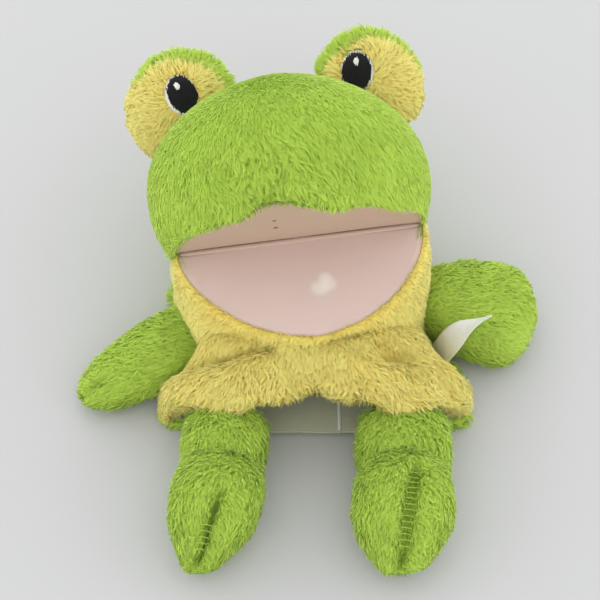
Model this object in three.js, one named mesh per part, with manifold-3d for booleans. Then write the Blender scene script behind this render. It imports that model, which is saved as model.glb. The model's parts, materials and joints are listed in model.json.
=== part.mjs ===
// A frog hand puppet that lies on its back with its mouth open. Millimetres, +Z up, feet towards -Y.
// The origin is on the flat underside of the back panel, below the chest.
// The mouth folds about one line. The head group turns behind it and the jaw group in front of it.

import * as THREE from 'three';
import { mergeVertices } from 'three/addons/utils/BufferGeometryUtils.js';
import Module from 'manifold-3d';

const wasm = await Module();
wasm.setup();

const radians = THREE.MathUtils.degToRad;
const { Vector2, Vector3 } = THREE;

// Cloths and clearances
const seamGap = 0.3;
const hingeGap = 0.6;
const furCloth = 7;
const liningCloth = 1.2;
const pocketCloth = 1;
const overrun = 60;
const beyond = 240;
const weld = 1e-4;

// Mouth: both halves share one outline and fold along a tape
const foldHalfLength = 75;
const palateDepth = 71;
const palateCloth = 1.2;
const boardThickness = 1.6;
const boardInset = 4;
const tapeRadius = 2;
const tapeSides = 12;
const mouthPlace = new Vector3(-9, 30, 62);
const mouthTurn = radians(9);
const headTilt = radians(19);

// Head
const crownHalfWidth = 86;
const crownHalfHeight = 62;
const crownHalfLength = 80;
const crownRise = 30;
const crownForward = 9;
const crownPower = 2.25;
const lipThickness = 6;
const neckHoleDepth = 54;
const fingerPocketWidth = 86;
const fingerPocketHeight = 22;
const fingerPocketReach = 50;
const fingerPocketMouth = 12;

// Eyes
const eyeSpread = 58;
const eyeRise = 99;
const eyeForward = -4;
const eyeBackRadius = 34;
const eyeFrontRadius = 30;
const eyeHalfDepth = 24;
const eyeCloth = 5;
const eyeLookUp = radians(52);
const eyeWhiteHalfWidth = 11.2;
const eyeWhiteHalfHeight = 13.8;
const pupilHalfWidth = 8.6;
const pupilHalfHeight = 11.6;
const glintHalfWidth = 2;
const glintHalfHeight = 3;
const feltThickness = 0.8;
const feltLift = 0.5;
const whiteInward = 3.2;
const whiteAside = -3.7;
const whiteUp = 3.6;
const pupilInward = 4.2;
const pupilAside = -3.7;
const pupilUp = 3.6;
const glintShift = new Vector2(-1, 6);

// Jaw
const chinRim = 8;
const chinDepth = 32;
const chinPower = 2.3;
const chinBackAngle = radians(45);
const thumbPocketWidth = 50;
const thumbPocketHeight = 12;
const thumbPocketStart = 20;
const thumbPocketReach = 46;

// Sleeve
const hemHalfWidth = 95;
const hemHeight = 54;
const sleeveFront = -86;
const sleeveBack = 50;
const backPanelThickness = 6;
const backPanelFront = -73;
const backPanelBorder = 3;
const sideLobe = 9;
const sideLobeReach = 18;
const sideLobePlace = -30;
const hemAtMiddle = -72;
const hemAtLegs = -83;
const hemAtCorners = -60;
const hemBesideLegs = -71.5;
const hemBesideMiddle = -74.75;
const hemShares = [
  { share: -1, y: hemAtCorners },
  { share: -0.8, y: hemBesideLegs },
  { share: -0.55, y: hemAtLegs },
  { share: -0.2, y: hemBesideMiddle },
  { share: 0, y: hemAtMiddle },
  { share: 0.2, y: hemBesideMiddle },
  { share: 0.55, y: hemAtLegs },
  { share: 0.8, y: hemBesideLegs },
  { share: 1, y: hemAtCorners },
];
const rippleHeight = 2.6;
const rippleLength = 34;
const sleevePower = 3;
const rippleFade = 3;
const backPanelCorner = 14;
const backPanelCornerReach = 42;
const sleeveWidthShares = [1, 1, 0.93, 0.86, 0.81, 0.79, 0.81, 0.82, 0.7];
const sleeveHeightShares = [0.99, 1, 0.8, 0.6, 0.55, 0.55, 0.92, 1.26, 1.26];

// Limbs
const legSpread = 52;
const legStart = -76;
const legLength = 31;
const legOverlap = 10;
const legNarrowing = 1;
const ankleGap = 0.6;
const footLength = 64;
const legHalfHeight = 23;
const footHalfHeight = 25;
const leftFootHalfWidth = 26.5;
const rightFootHalfWidth = 29.5;
const limbCloth = 5;
const leftArmPlace = new Vector3(-62, -6, 0);
const rightArmPlace = new Vector3(60, 15, 0);
const leftArmTurn = radians(211);
const rightArmTurn = radians(-12);
const leftLegTurn = radians(-94);
const rightLegTurn = radians(-92);

// Label
const labelWidth = 18;
const labelLength = 48;
const labelThickness = 0.8;
const labelRiseShare = 0.78;
const labelLeanShare = 0.55;
const labelBendShares = [
  new Vector2(0.3, 0.5),
  new Vector2(0.45, 0.95),
];
const labelPlace = new Vector3(87.6, -36, 6.5);
const labelTurn = radians(-8);

// Smoothness of the round forms
const palateRoundness = 24;
const crownRoundness = { columns: 30, rows: 16 };
const hollowRoundness = { columns: 20, rows: 10 };
const eyeRoundness = { columns: 16, rows: 10 };
const feltRoundness = { columns: 24, rows: 14 };
const feltOutlineSteps = 9;
const chinRoundness = { columns: 32, rows: 16 };
const archPoints = 16;
const sleeveRings = 16;
const hemSteps = 4;
const cornerSteps = 6;
const labelSteps = 14;

const colours = {
  green: 0x9bcb45,
  yellow: 0xeddd84,
  pink: 0xd9b5aa,
  white: 0xf0f0ee,
  black: 0x17171a,
  filling: 0xf4f2ea,
  board: 0xc9c1b0,
};

function material(colour, roughness) {
  return new THREE.MeshStandardMaterial({ color: colour, roughness, metalness: 0 });
}

const materials = {
  greenPlush: material(colours.green, 1),
  yellowPlush: material(colours.yellow, 1),
  mouthCloth: material(colours.pink, 0.85),
  lining: material(colours.white, 0.9),
  felt: material(colours.white, 0.8),
  pupil: material(colours.black, 0.45),
  fibre: material(colours.filling, 1),
  board: material(colours.board, 0.9),
  satin: material(colours.white, 0.4),
};

// Geometry to solid and back

function solidOf(geometry) {
  const bare = geometry.clone();
  bare.deleteAttribute('normal');
  bare.deleteAttribute('uv');
  const merged = mergeVertices(bare, weld);
  return new wasm.Manifold(
    new wasm.Mesh({
      numProp: 3,
      vertProperties: Float32Array.from(merged.attributes.position.array),
      triVerts: Uint32Array.from(merged.index.array),
    }),
  );
}

function geometryOf(solid) {
  const mesh = solid.getMesh();
  const geometry = new THREE.BufferGeometry();
  geometry.setAttribute('position', new THREE.BufferAttribute(mesh.vertProperties, mesh.numProp));
  geometry.setIndex(new THREE.BufferAttribute(mesh.triVerts, 1));
  geometry.computeVertexNormals();
  return geometry;
}

function piece(name, solid, finish) {
  const mesh = new THREE.Mesh(geometryOf(solid), finish);
  mesh.name = name;
  return mesh;
}

// A solid given in one group's own axes, turned into another group's axes.
function carried(solid, from, to) {
  from.updateWorldMatrix(true, false);
  to.updateWorldMatrix(true, false);
  const step = to.matrixWorld.clone().invert().multiply(from.matrixWorld);
  return solid.transform(step.elements);
}

// A block between two corners. A side that isn't given lies far outside the puppet.
function slab({ x = [-beyond, beyond], y = [-beyond, beyond], z = [-beyond, beyond] }) {
  return box(new Vector3(x[0], y[0], z[0]), new Vector3(x[1], y[1], z[1]));
}

function box(low, high) {
  const size = high.clone().sub(low);
  const middle = low.clone().add(high).multiplyScalar(0.5);
  return solidOf(new THREE.BoxGeometry(size.x, size.y, size.z).translate(middle.x, middle.y, middle.z));
}

// How far a rounded square's edge lies out in a direction: 1 at power 2, more at the corners above it.
function softReach(across, up, power) {
  return (Math.abs(across) ** power + Math.abs(up) ** power) ** (-1 / power);
}

// A smooth value at a share of the way along a list of evenly spaced shares.
function shareAt(shares, along) {
  const points = shares.map((value, index) => new Vector2(index, value));
  return new THREE.SplineCurve(points).getPoint(along).y;
}

// A closed skin over rings that all have the same number of points.
function skinOver(rings) {
  const sides = rings[0].length;
  const positions = rings.flat().flatMap((point) => [point.x, point.y, point.z]);
  const index = [];
  for (let ring = 0; ring + 1 < rings.length; ring++) {
    for (let side = 0; side < sides; side++) {
      const next = (side + 1) % sides;
      const here = ring * sides;
      const there = here + sides;
      index.push(here + side, here + next, there + next);
      index.push(here + side, there + next, there + side);
    }
  }
  addCap(positions, index, rings[0], 0, false);
  addCap(positions, index, rings.at(-1), (rings.length - 1) * sides, true);
  const geometry = new THREE.BufferGeometry();
  geometry.setAttribute('position', new THREE.Float32BufferAttribute(positions, 3));
  geometry.setIndex(index);
  return geometry;
}

function addCap(positions, index, ring, first, last) {
  const middle = new Vector3();
  ring.forEach((point) => middle.add(point));
  middle.divideScalar(ring.length);
  const centre = positions.length / 3;
  positions.push(middle.x, middle.y, middle.z);
  for (let side = 0; side < ring.length; side++) {
    const next = (side + 1) % ring.length;
    const edge = last ? [first + side, first + next] : [first + next, first + side];
    index.push(centre, ...edge);
  }
}

// A rounded block: a ball at power 2 that turns boxier as the power grows.
function softBall(halfSizes, power, { columns, rows }) {
  const geometry = new THREE.SphereGeometry(1, columns, rows);
  const place = geometry.attributes.position;
  const point = new Vector3();
  for (let index = 0; index < place.count; index++) {
    point.fromBufferAttribute(place, index);
    const reach = [point.x, point.y, point.z].reduce((sum, value) => sum + Math.abs(value) ** power, 0);
    point.multiplyScalar(reach ** (-1 / power)).multiply(halfSizes);
    place.setXYZ(index, point.x, point.y, point.z);
  }
  return geometry;
}

// Mouth frame: x along the fold, y away from the mouth through the head, z from the fold to the lip.
const puppet = new THREE.Group();
const mouth = new THREE.Group();
mouth.position.copy(mouthPlace);
mouth.rotation.z = mouthTurn;
const head = new THREE.Group();
head.rotation.x = headTilt;
const jaw = new THREE.Group();
mouth.add(head, jaw);
puppet.add(mouth);

// Half of the mouth's outline, on one side of the fold, grown by a border.
function palateOutline(border, start) {
  const halfLength = foldHalfLength + border;
  const depth = palateDepth + border;
  const first = Math.asin(start / depth);
  return new THREE.Shape().absellipse(0, 0, halfLength, depth, first, Math.PI - first, false);
}

// A sheet behind the head's half of the mouth, from one depth in the head to another.
function headSheet(border, start, near, far) {
  const settings = { depth: far - near, bevelEnabled: false, curveSegments: palateRoundness };
  const sheet = new THREE.ExtrudeGeometry(palateOutline(border, start), settings);
  return solidOf(sheet.rotateX(Math.PI / 2).translate(0, far, 0));
}

// The same for the jaw's half, measured downwards from the mouth.
function jawSheet(border, start, near, far) {
  const settings = { depth: far - near, bevelEnabled: false, curveSegments: palateRoundness };
  const sheet = new THREE.ExtrudeGeometry(palateOutline(border, start), settings);
  return solidOf(sheet.rotateZ(Math.PI).translate(0, 0, -far));
}

const palateStart = tapeRadius + seamGap;
const boardNear = palateCloth + seamGap;
const boardFar = boardNear + boardThickness;
const boardStart = boardFar + hingeGap;
const pocketNear = boardFar + seamGap;

// Head

function crownForm(inset, roundness) {
  const halfSizes = new Vector3(
    crownHalfWidth - inset,
    crownHalfHeight - inset,
    crownHalfLength - inset,
  );
  return solidOf(softBall(halfSizes, crownPower, roundness).translate(0, crownRise, crownForward));
}

function aboveMouth(depth) {
  return slab({ y: [depth, beyond] });
}

// The neck's half of the hole in the underside of the head.
function neckHole(border) {
  const halfLength = foldHalfLength + border;
  const outline = new THREE.Shape();
  outline.moveTo(-halfLength, tapeRadius);
  outline.lineTo(-halfLength, 0);
  outline.absellipse(0, 0, halfLength, neckHoleDepth, Math.PI, Math.PI * 2, false);
  outline.lineTo(halfLength, tapeRadius);
  const settings = { depth: overrun, bevelEnabled: false, curveSegments: palateRoundness };
  const plug = new THREE.ExtrudeGeometry(outline, settings).rotateX(Math.PI / 2);
  return solidOf(plug.translate(0, overrun / 2, 0));
}

function fingerRoom(growth) {
  const halfWidth = fingerPocketWidth / 2 + pocketCloth + growth;
  const far = pocketNear + fingerPocketHeight + pocketCloth * 2 + growth;
  const reach = fingerPocketReach + pocketCloth + growth;
  return slab({ x: [-halfWidth, halfWidth], y: [-overrun, far], z: [-beyond, reach] });
}

function headCrown() {
  const hollow = crownForm(furCloth, hollowRoundness).intersect(aboveMouth(lipThickness));
  return crownForm(0, crownRoundness)
    .intersect(aboveMouth(0))
    .subtract(hollow)
    .subtract(headSheet(seamGap, 0, -overrun, overrun / 2))
    .subtract(neckHole(seamGap));
}

function headFilling() {
  return crownForm(furCloth + seamGap, hollowRoundness)
    .intersect(aboveMouth(lipThickness + seamGap))
    .subtract(fingerRoom(seamGap));
}

// A flat pocket, closed at its far end and open towards the wrist.
function fingerPocket() {
  const halfWidth = fingerPocketWidth / 2;
  const near = pocketNear + pocketCloth;
  const far = near + fingerPocketHeight;
  const outer = box(
    new Vector3(-halfWidth - pocketCloth, near - pocketCloth, -fingerPocketMouth),
    new Vector3(halfWidth + pocketCloth, far + pocketCloth, fingerPocketReach + pocketCloth),
  );
  const inner = box(
    new Vector3(-halfWidth, near, -overrun),
    new Vector3(halfWidth, far, fingerPocketReach),
  );
  return outer.subtract(inner);
}

// Eyes: a pod of two cloth halves, its own z axis pointing where the eye looks

function eyeGroup(side) {
  const group = new THREE.Group();
  group.position.set(side * eyeSpread, eyeRise, eyeForward);
  group.rotation.x = Math.PI / 2 - eyeLookUp - headTilt;
  return group;
}

function ball(radius, halfDepth, roundness) {
  return solidOf(softBall(new Vector3(radius, radius, halfDepth), 2, roundness));
}

function eyePod(radius, inset) {
  return ball(radius - inset, eyeHalfDepth - inset, eyeRoundness);
}

function eyeSide(forward) {
  return slab({ z: forward ? [seamGap / 2, beyond] : [-beyond, -seamGap / 2] });
}

// An oval of felt that lies on the front of the pod.
function eyeFelt(halfWidth, halfHeight, place, lift) {
  const top = lift + feltThickness;
  const shell = ball(eyeFrontRadius + top, eyeHalfDepth + top, feltRoundness);
  const core = ball(eyeFrontRadius + lift, eyeHalfDepth + lift, feltRoundness);
  const outline = new THREE.Shape();
  outline.absellipse(place.x, place.y, halfWidth, halfHeight, 0, Math.PI * 2, false);
  const settings = { depth: overrun, bevelEnabled: false, curveSegments: feltOutlineSteps };
  const column = new THREE.ExtrudeGeometry(outline, settings);
  return shell.subtract(core).intersect(solidOf(column));
}

function addEye(side, name, crownRoom) {
  const group = eyeGroup(side);
  head.add(group);
  const seat = carried(crownRoom, head, group);
  const whitePlace = new Vector2(whiteAside - side * whiteInward, whiteUp);
  const pupilPlace = new Vector2(pupilAside - side * pupilInward, pupilUp);
  const glintPlace = pupilPlace.clone().add(glintShift);
  const pupilLift = feltLift + feltThickness + seamGap;
  const glintLift = pupilLift + feltThickness + seamGap;
  const filling = eyePod(eyeFrontRadius, eyeCloth + seamGap);
  const backShell = eyePod(eyeBackRadius, 0).subtract(eyePod(eyeFrontRadius, eyeCloth));
  const frontShell = eyePod(eyeFrontRadius, 0).subtract(eyePod(eyeFrontRadius, eyeCloth));
  const parts = [
    ['back', backShell.intersect(eyeSide(false)), materials.greenPlush],
    ['front', frontShell.intersect(eyeSide(true)), materials.yellowPlush],
    ['filling', filling, materials.fibre],
    ['white', eyeFelt(eyeWhiteHalfWidth, eyeWhiteHalfHeight, whitePlace, feltLift), materials.felt],
    ['pupil', eyeFelt(pupilHalfWidth, pupilHalfHeight, pupilPlace, pupilLift), materials.pupil],
    ['glint', eyeFelt(glintHalfWidth, glintHalfHeight, glintPlace, glintLift), materials.felt],
  ];
  parts.forEach(([part, solid, finish]) => {
    group.add(piece(`eye_${name}_${part}`, solid.subtract(seat), finish));
  });
}

// Jaw

function chinForm(inset, drop) {
  const halfSizes = new Vector3(
    foldHalfLength + seamGap + chinRim - inset,
    palateDepth + seamGap + chinRim - inset,
    chinDepth - drop,
  );
  return solidOf(softBall(halfSizes, chinPower, chinRoundness));
}

// All that lies in front of the slanted back of the chin.
function throatSide(gap) {
  const block = new THREE.BoxGeometry(beyond * 2, beyond * 2, beyond * 2);
  return solidOf(block.translate(0, -beyond, beyond).rotateX(chinBackAngle).translate(0, -gap, 0));
}

function beforeThroat(gap) {
  return throatSide(gap).intersect(slab({ z: [-beyond, 0] }));
}

function chin() {
  const hollow = chinForm(chinRim, furCloth);
  return chinForm(0, 0)
    .subtract(hollow)
    .subtract(jawSheet(seamGap, 0, -overrun, palateCloth + seamGap))
    .intersect(beforeThroat(hingeGap));
}

const thumbNear = pocketNear + pocketCloth;
const paddingNear = thumbNear + thumbPocketHeight + pocketCloth + seamGap;

function chinPadding() {
  return chinForm(chinRim + seamGap, furCloth + seamGap)
    .intersect(beforeThroat(hingeGap))
    .intersect(slab({ z: [-beyond, -paddingNear] }));
}

function thumbPocket() {
  const halfWidth = thumbPocketWidth / 2;
  const thumbFar = thumbNear + thumbPocketHeight;
  const outer = box(
    new Vector3(-halfWidth - pocketCloth, -thumbPocketReach - pocketCloth, -thumbFar - pocketCloth),
    new Vector3(halfWidth + pocketCloth, -thumbPocketStart, -thumbNear + pocketCloth),
  );
  const inner = box(
    new Vector3(-halfWidth, -thumbPocketReach, -thumbFar),
    new Vector3(halfWidth, overrun, -thumbNear),
  );
  return outer.subtract(inner);
}

// Sleeve: an arch of cloth over a flat back, along a line that bends towards the mouth

function sleeveSpine() {
  const straight = mouthPlace.y - overrun;
  return new THREE.CatmullRomCurve3([
    new Vector3(0, sleeveFront, 0),
    new Vector3(0, straight, 0),
    new Vector3(mouthPlace.x / 2, 0, 0),
    new Vector3(mouthPlace.x, mouthPlace.y, 0),
    new Vector3(mouthPlace.x - Math.sin(mouthTurn) * (sleeveBack - mouthPlace.y), sleeveBack, 0),
  ]);
}

function ripple(along, across) {
  const fade = Math.max(0, 1 - along * rippleFade);
  return rippleHeight * fade * Math.cos((across / rippleLength) * Math.PI * 2);
}

// The sleeve's form, pulled in by an inset.
function sleeveForm(inset) {
  const spine = sleeveSpine();
  const rings = [];
  for (let ring = 0; ring <= sleeveRings; ring++) {
    const along = ring / sleeveRings;
    const centre = spine.getPointAt(along);
    const tangent = spine.getTangentAt(along);
    const side = new Vector3(-tangent.y, tangent.x, 0);
    const halfWidth = hemHalfWidth * shareAt(sleeveWidthShares, along) - inset;
    const height = hemHeight * shareAt(sleeveHeightShares, along) - inset;
    const points = [];
    for (let step = 0; step <= archPoints; step++) {
      const angle = (Math.PI * step) / archPoints;
      const reach = softReach(Math.cos(angle), Math.sin(angle), sleevePower);
      const across = halfWidth * reach * Math.cos(angle);
      const up = reach * Math.sin(angle) * height + ripple(along, across) * Math.sin(angle);
      points.push(centre.clone().addScaledVector(side, across).setZ(up));
    }
    points.push(points.at(-1).clone().setZ(-overrun), points[0].clone().setZ(-overrun));
    rings.push(points);
  }
  return solidOf(skinOver(rings));
}

// The wavy hem, seen from above, as the front limit of the belly panel.
function hemLimit() {
  const points = hemShares.map(({ share, y }) => new Vector2(share * hemHalfWidth, y));
  const outline = new THREE.Shape();
  outline.moveTo(-beyond, hemAtCorners);
  outline.lineTo(points[0].x, points[0].y);
  outline.splineThru(points.slice(1));
  outline.lineTo(beyond, hemAtCorners);
  outline.lineTo(beyond, -beyond);
  outline.lineTo(-beyond, -beyond);
  const settings = { depth: beyond * 2, bevelEnabled: false, curveSegments: hemSteps };
  return solidOf(new THREE.ExtrudeGeometry(outline, settings).translate(0, 0, -beyond));
}

function headRoom() {
  return carried(slab({ y: [-hingeGap, beyond] }), head, puppet);
}

// The room that the head and the jaw need, which every torso piece keeps clear of.
function mouthRoom() {
  const low = chinForm(-hingeGap, -hingeGap).intersect(beforeThroat(-hingeGap));
  const above = slab({ y: [-beyond, overrun], z: [-hingeGap, beyond] });
  const tape = solidOf(foldCylinder(tapeRadius + seamGap, foldHalfLength));
  return headRoom()
    .add(carried(low, jaw, puppet))
    .add(carried(above, jaw, puppet))
    .add(carried(tape, mouth, puppet));
}

function foldCylinder(radius, halfLength) {
  return new THREE.CylinderGeometry(radius, radius, halfLength * 2, tapeSides).rotateZ(Math.PI / 2);
}

// The room behind the chin, where the thumb passes from the sleeve into its pocket.
function throatRoom() {
  const front = -Math.tan(chinBackAngle) * chinDepth;
  const room = throatSide(0).intersect(slab({ y: [front, overrun], z: [-chinDepth, overrun] }));
  return carried(room, jaw, puppet);
}

function aboveLevel(level) {
  return slab({ z: [level, beyond] });
}

function bellyPanel(rooms) {
  return sleeveForm(0)
    .subtract(sleeveForm(furCloth))
    .intersect(aboveLevel(backPanelThickness + seamGap))
    .subtract(hemLimit())
    .subtract(rooms);
}

function frontLining(rooms) {
  return sleeveForm(furCloth + seamGap)
    .subtract(sleeveForm(furCloth + seamGap + liningCloth))
    .intersect(aboveLevel(backPanelThickness + liningCloth + seamGap * 2))
    .subtract(hemLimit())
    .subtract(rooms);
}

// The sleeve's two edges on the table, moved out by a border.
function outlinePoints(border) {
  const spine = sleeveSpine();
  const points = { left: [], right: [] };
  for (let ring = 0; ring <= sleeveRings; ring++) {
    const along = ring / sleeveRings;
    const centre = spine.getPointAt(along);
    const tangent = spine.getTangentAt(along);
    const lobe = Math.exp(-(((centre.y - sideLobePlace) / sideLobeReach) ** 2)) * sideLobe;
    const halfWidth = hemHalfWidth * shareAt(sleeveWidthShares, along) + border;
    const rightWidth = border > 0 ? halfWidth + lobe : halfWidth;
    const side = new Vector2(tangent.y, -tangent.x);
    const middle = new Vector2(centre.x, centre.y);
    points.right.push(middle.clone().addScaledVector(side, rightWidth));
    points.left.push(middle.clone().addScaledVector(side, -halfWidth));
  }
  return points;
}

// A flat sheet with the outline of the sleeve and rounded corners at the hem.
function flatSheet(border, front, low, thickness) {
  const { left, right } = outlinePoints(border);
  const outline = new THREE.Shape([...right, ...left.reverse()]);
  const sheet = new THREE.ExtrudeGeometry(outline, { depth: thickness, bevelEnabled: false });
  const keep = new THREE.Shape();
  const halfWidth = hemHalfWidth + border;
  keep.moveTo(-beyond, hemAtCorners);
  keep.lineTo(-halfWidth, hemAtCorners);
  keep.quadraticCurveTo(-halfWidth + backPanelCorner, front, -halfWidth + backPanelCornerReach, front);
  keep.lineTo(halfWidth - backPanelCornerReach, front);
  keep.quadraticCurveTo(halfWidth - backPanelCorner, front, halfWidth, hemAtCorners);
  keep.lineTo(beyond, hemAtCorners);
  keep.lineTo(beyond, beyond);
  keep.lineTo(-beyond, beyond);
  const settings = { depth: beyond * 2, bevelEnabled: false, curveSegments: cornerSteps };
  const limit = new THREE.ExtrudeGeometry(keep, settings).translate(0, 0, -beyond);
  return solidOf(sheet).intersect(solidOf(limit)).translate([0, 0, low]);
}

// Limbs: the group's x axis runs from the seam to the tip, and z = 0 is the table

function limbForm(limb, inset, start) {
  const { steps, sides } = inset > 0 ? limb.inside : limb.outside;
  const rings = [];
  for (let ring = 0; ring < steps; ring++) {
    const along = Math.sin((Math.PI / 2) * (ring / steps));
    const tip = Math.max(0, (along - limb.roundFrom) / (1 - limb.roundFrom));
    const close = Math.sqrt(1 - tip * tip);
    const fullHeight = limb.halfHeight * shareAt(limb.heightShares, along);
    const halfWidth = (limb.halfWidth * shareAt(limb.widthShares, along) - inset) * close;
    const halfHeight = (fullHeight - inset) * close;
    const x = ring === 0 ? start : along * (limb.length - inset);
    const middle = fullHeight * limb.liftShare;
    rings.push(limbRing(limb, { x, halfWidth, halfHeight, middle, inset, along, sides }));
  }
  return solidOf(skinOver(rings));
}

function limbRing(limb, { x, halfWidth, halfHeight, middle, inset, along, sides }) {
  const points = [];
  for (let side = 0; side < sides; side++) {
    const angle = (Math.PI * 2 * side) / sides;
    const across = Math.cos(angle);
    const up = Math.sin(angle);
    const reach = softReach(across, up, limb.power);
    const off = Math.atan2(across, up) / limb.grooveWidth;
    const dent = 1 - limb.grooveDepth * Math.exp(-off * off) * along;
    const z = Math.max(inset, middle + up * reach * halfHeight * dent);
    points.push(new Vector3(x, across * reach * halfWidth, z));
  }
  return points;
}

const limbShape = {
  outside: { steps: 9, sides: 16 },
  inside: { steps: 7, sides: 12 },
  power: 2.2,
  roundFrom: 0.72,
  liftShare: 0.94,
  grooveDepth: 0,
  grooveWidth: 0.28,
};

function addLimb(name, limb, place, turn, room) {
  const group = new THREE.Group();
  group.position.copy(place);
  group.rotation.z = turn;
  puppet.add(group);
  const seat = carried(room, puppet, group);
  const cover = limbForm(limb, 0, 0).subtract(seat);
  const hollow = limbForm(limb, limbCloth, -overrun);
  const filling = limbForm(limb, limbCloth + seamGap * 2, 0);
  group.add(piece(name, cover.subtract(hollow), materials.greenPlush));
  group.add(piece(`${name}_filling`, filling.subtract(seat), materials.fibre));
  return group;
}

const leftArm = {
  ...limbShape,
  length: 94,
  halfWidth: 22,
  halfHeight: 17.5,
  widthShares: [0.95, 1, 1, 0.94, 0.84, 0.74],
  heightShares: [0.9, 1, 0.98, 0.85, 0.72, 0.6],
  grooveDepth: 0.22,
};

const rightArm = {
  ...limbShape,
  length: 78,
  halfWidth: 34,
  halfHeight: 20,
  widthShares: [0.5, 0.68, 0.88, 1, 1, 0.98],
  heightShares: [0.85, 1, 1, 0.95, 0.9, 0.8],
  power: 2.6,
  roundFrom: 0.7,
};

function leg(halfWidth) {
  return {
    ...limbShape,
    outside: { steps: 5, sides: 16 },
    inside: { steps: 3, sides: 12 },
    length: legLength + legOverlap,
    halfWidth,
    halfHeight: legHalfHeight,
    widthShares: [0.95, 1, 0.98, 0.9],
    heightShares: [0.95, 1, 1, 0.94],
    roundFrom: 0.98,
  };
}

function foot(halfWidth) {
  return {
    ...limbShape,
    length: footLength,
    halfWidth,
    halfHeight: footHalfHeight,
    widthShares: [0.84, 0.96, 1, 0.99, 0.92, 0.84],
    heightShares: [0.9, 1, 1, 0.92, 0.82, 0.7],
    roundFrom: 0.5,
    grooveDepth: 0.26,
  };
}

// A label of ribbon that leaves the seam upwards and curls over.
function careLabel() {
  const rise = labelLength * labelRiseShare;
  const lean = labelLength * labelLeanShare;
  const path = new THREE.CubicBezierCurve(
    new Vector2(0, 0),
    ...labelBendShares.map((share) => new Vector2(lean * share.x, rise * share.y)),
    new Vector2(lean, rise),
  );
  const near = [];
  const far = [];
  for (let step = 0; step <= labelSteps; step++) {
    const point = path.getPoint(step / labelSteps);
    const tangent = path.getTangent(step / labelSteps);
    const normal = new Vector2(-tangent.y, tangent.x).multiplyScalar(labelThickness / 2);
    near.push(point.clone().add(normal));
    far.push(point.clone().sub(normal));
  }
  const outline = new THREE.Shape([...far, ...near.reverse()]);
  const ribbon = new THREE.ExtrudeGeometry(outline, { depth: labelWidth, bevelEnabled: false });
  return solidOf(ribbon.translate(0, 0, -labelWidth / 2).rotateX(Math.PI / 2));
}

function addHead() {
  const crownRoom = crownForm(-seamGap, crownRoundness);
  head.add(piece('head_crown', headCrown(), materials.greenPlush));
  head.add(piece('head_filling', headFilling(), materials.fibre));
  head.add(piece('upper_palate', headSheet(0, palateStart, 0, palateCloth), materials.mouthCloth));
  head.add(piece('upper_board', headSheet(-boardInset, boardStart, boardNear, boardFar), materials.board));
  head.add(piece('finger_pocket', fingerPocket(), materials.lining));
  addEye(-1, 'left', crownRoom);
  addEye(1, 'right', crownRoom);
}

function addJaw() {
  jaw.add(piece('chin', chin(), materials.yellowPlush));
  jaw.add(piece('chin_padding', chinPadding(), materials.fibre));
  jaw.add(piece('lower_palate', jawSheet(0, palateStart, 0, palateCloth), materials.mouthCloth));
  jaw.add(piece('lower_board', jawSheet(-boardInset, boardStart, boardNear, boardFar), materials.board));
  jaw.add(piece('thumb_pocket', thumbPocket(), materials.lining));
}

function addTorso() {
  const rooms = mouthRoom().add(throatRoom());
  puppet.add(piece('belly_panel', bellyPanel(rooms), materials.yellowPlush));
  puppet.add(piece('front_lining', frontLining(rooms), materials.lining));
  const back = flatSheet(backPanelBorder, backPanelFront, 0, backPanelThickness);
  puppet.add(piece('back_panel', back.subtract(headRoom()), materials.greenPlush));
  const liningInset = furCloth + liningCloth + seamGap;
  const liningLow = backPanelThickness + seamGap;
  const lining = flatSheet(-liningInset, backPanelFront - seamGap, liningLow, liningCloth);
  puppet.add(piece('back_lining', lining.subtract(headRoom()), materials.lining));
  const foldTape = solidOf(foldCylinder(tapeRadius, foldHalfLength - seamGap));
  mouth.add(piece('fold_tape', foldTape, materials.mouthCloth));
}

function addLimbs() {
  const torso = sleeveForm(-hingeGap).subtract(hemLimit());
  const sheet = flatSheet(backPanelBorder + hingeGap, backPanelFront - hingeGap, -overrun, overrun * 2);
  const low = slab({ z: [-beyond, backPanelThickness + hingeGap] });
  const room = torso.add(sheet.intersect(low));
  addLimb('arm_left', leftArm, leftArmPlace, leftArmTurn, room);
  addLimb('arm_right', rightArm, rightArmPlace, rightArmTurn, room);
  const apronInner = sleeveForm(furCloth + liningCloth + hingeGap * 2);
  const apron = sleeveForm(-hingeGap).subtract(apronInner).subtract(hemLimit());
  const backEdge = slab({ y: [backPanelFront - seamGap * 2, beyond] });
  const legRoom = apron.add(room.intersect(low).intersect(backEdge));
  addLeg('left', -1, leftFootHalfWidth, leftLegTurn, legRoom);
  addLeg('right', 1, rightFootHalfWidth, rightLegTurn, legRoom);
}

function addLeg(name, side, footHalfWidth, turn, room) {
  const hip = new Vector3(side * legSpread, legStart, 0);
  const direction = new Vector3(Math.cos(turn), Math.sin(turn), 0);
  const ankle = hip.clone().addScaledVector(direction, legLength);
  const legEnd = slab({ y: [-beyond, ankle.y] });
  addLimb(`leg_${name}`, leg(footHalfWidth - legNarrowing), hip, turn, room.add(legEnd));
  const footPlace = ankle.clone().addScaledVector(direction, ankleGap);
  const footRoom = slab({ y: [footPlace.y, beyond] });
  addLimb(`foot_${name}`, foot(footHalfWidth), footPlace, turn, footRoom);
}

function addLabel() {
  const group = new THREE.Group();
  group.position.copy(labelPlace);
  group.rotation.z = labelTurn;
  group.add(piece('care_label', careLabel(), materials.satin));
  puppet.add(group);
}

addHead();
addJaw();
addTorso();
addLimbs();
addLabel();

export default puppet;
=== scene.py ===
# A plush frog hand puppet on its back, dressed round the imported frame. Metres, +Z up, feet towards -Y.
import json
import math

import bmesh
import bpy
import numpy as np
from mathutils import Matrix, Vector, kdtree


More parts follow.
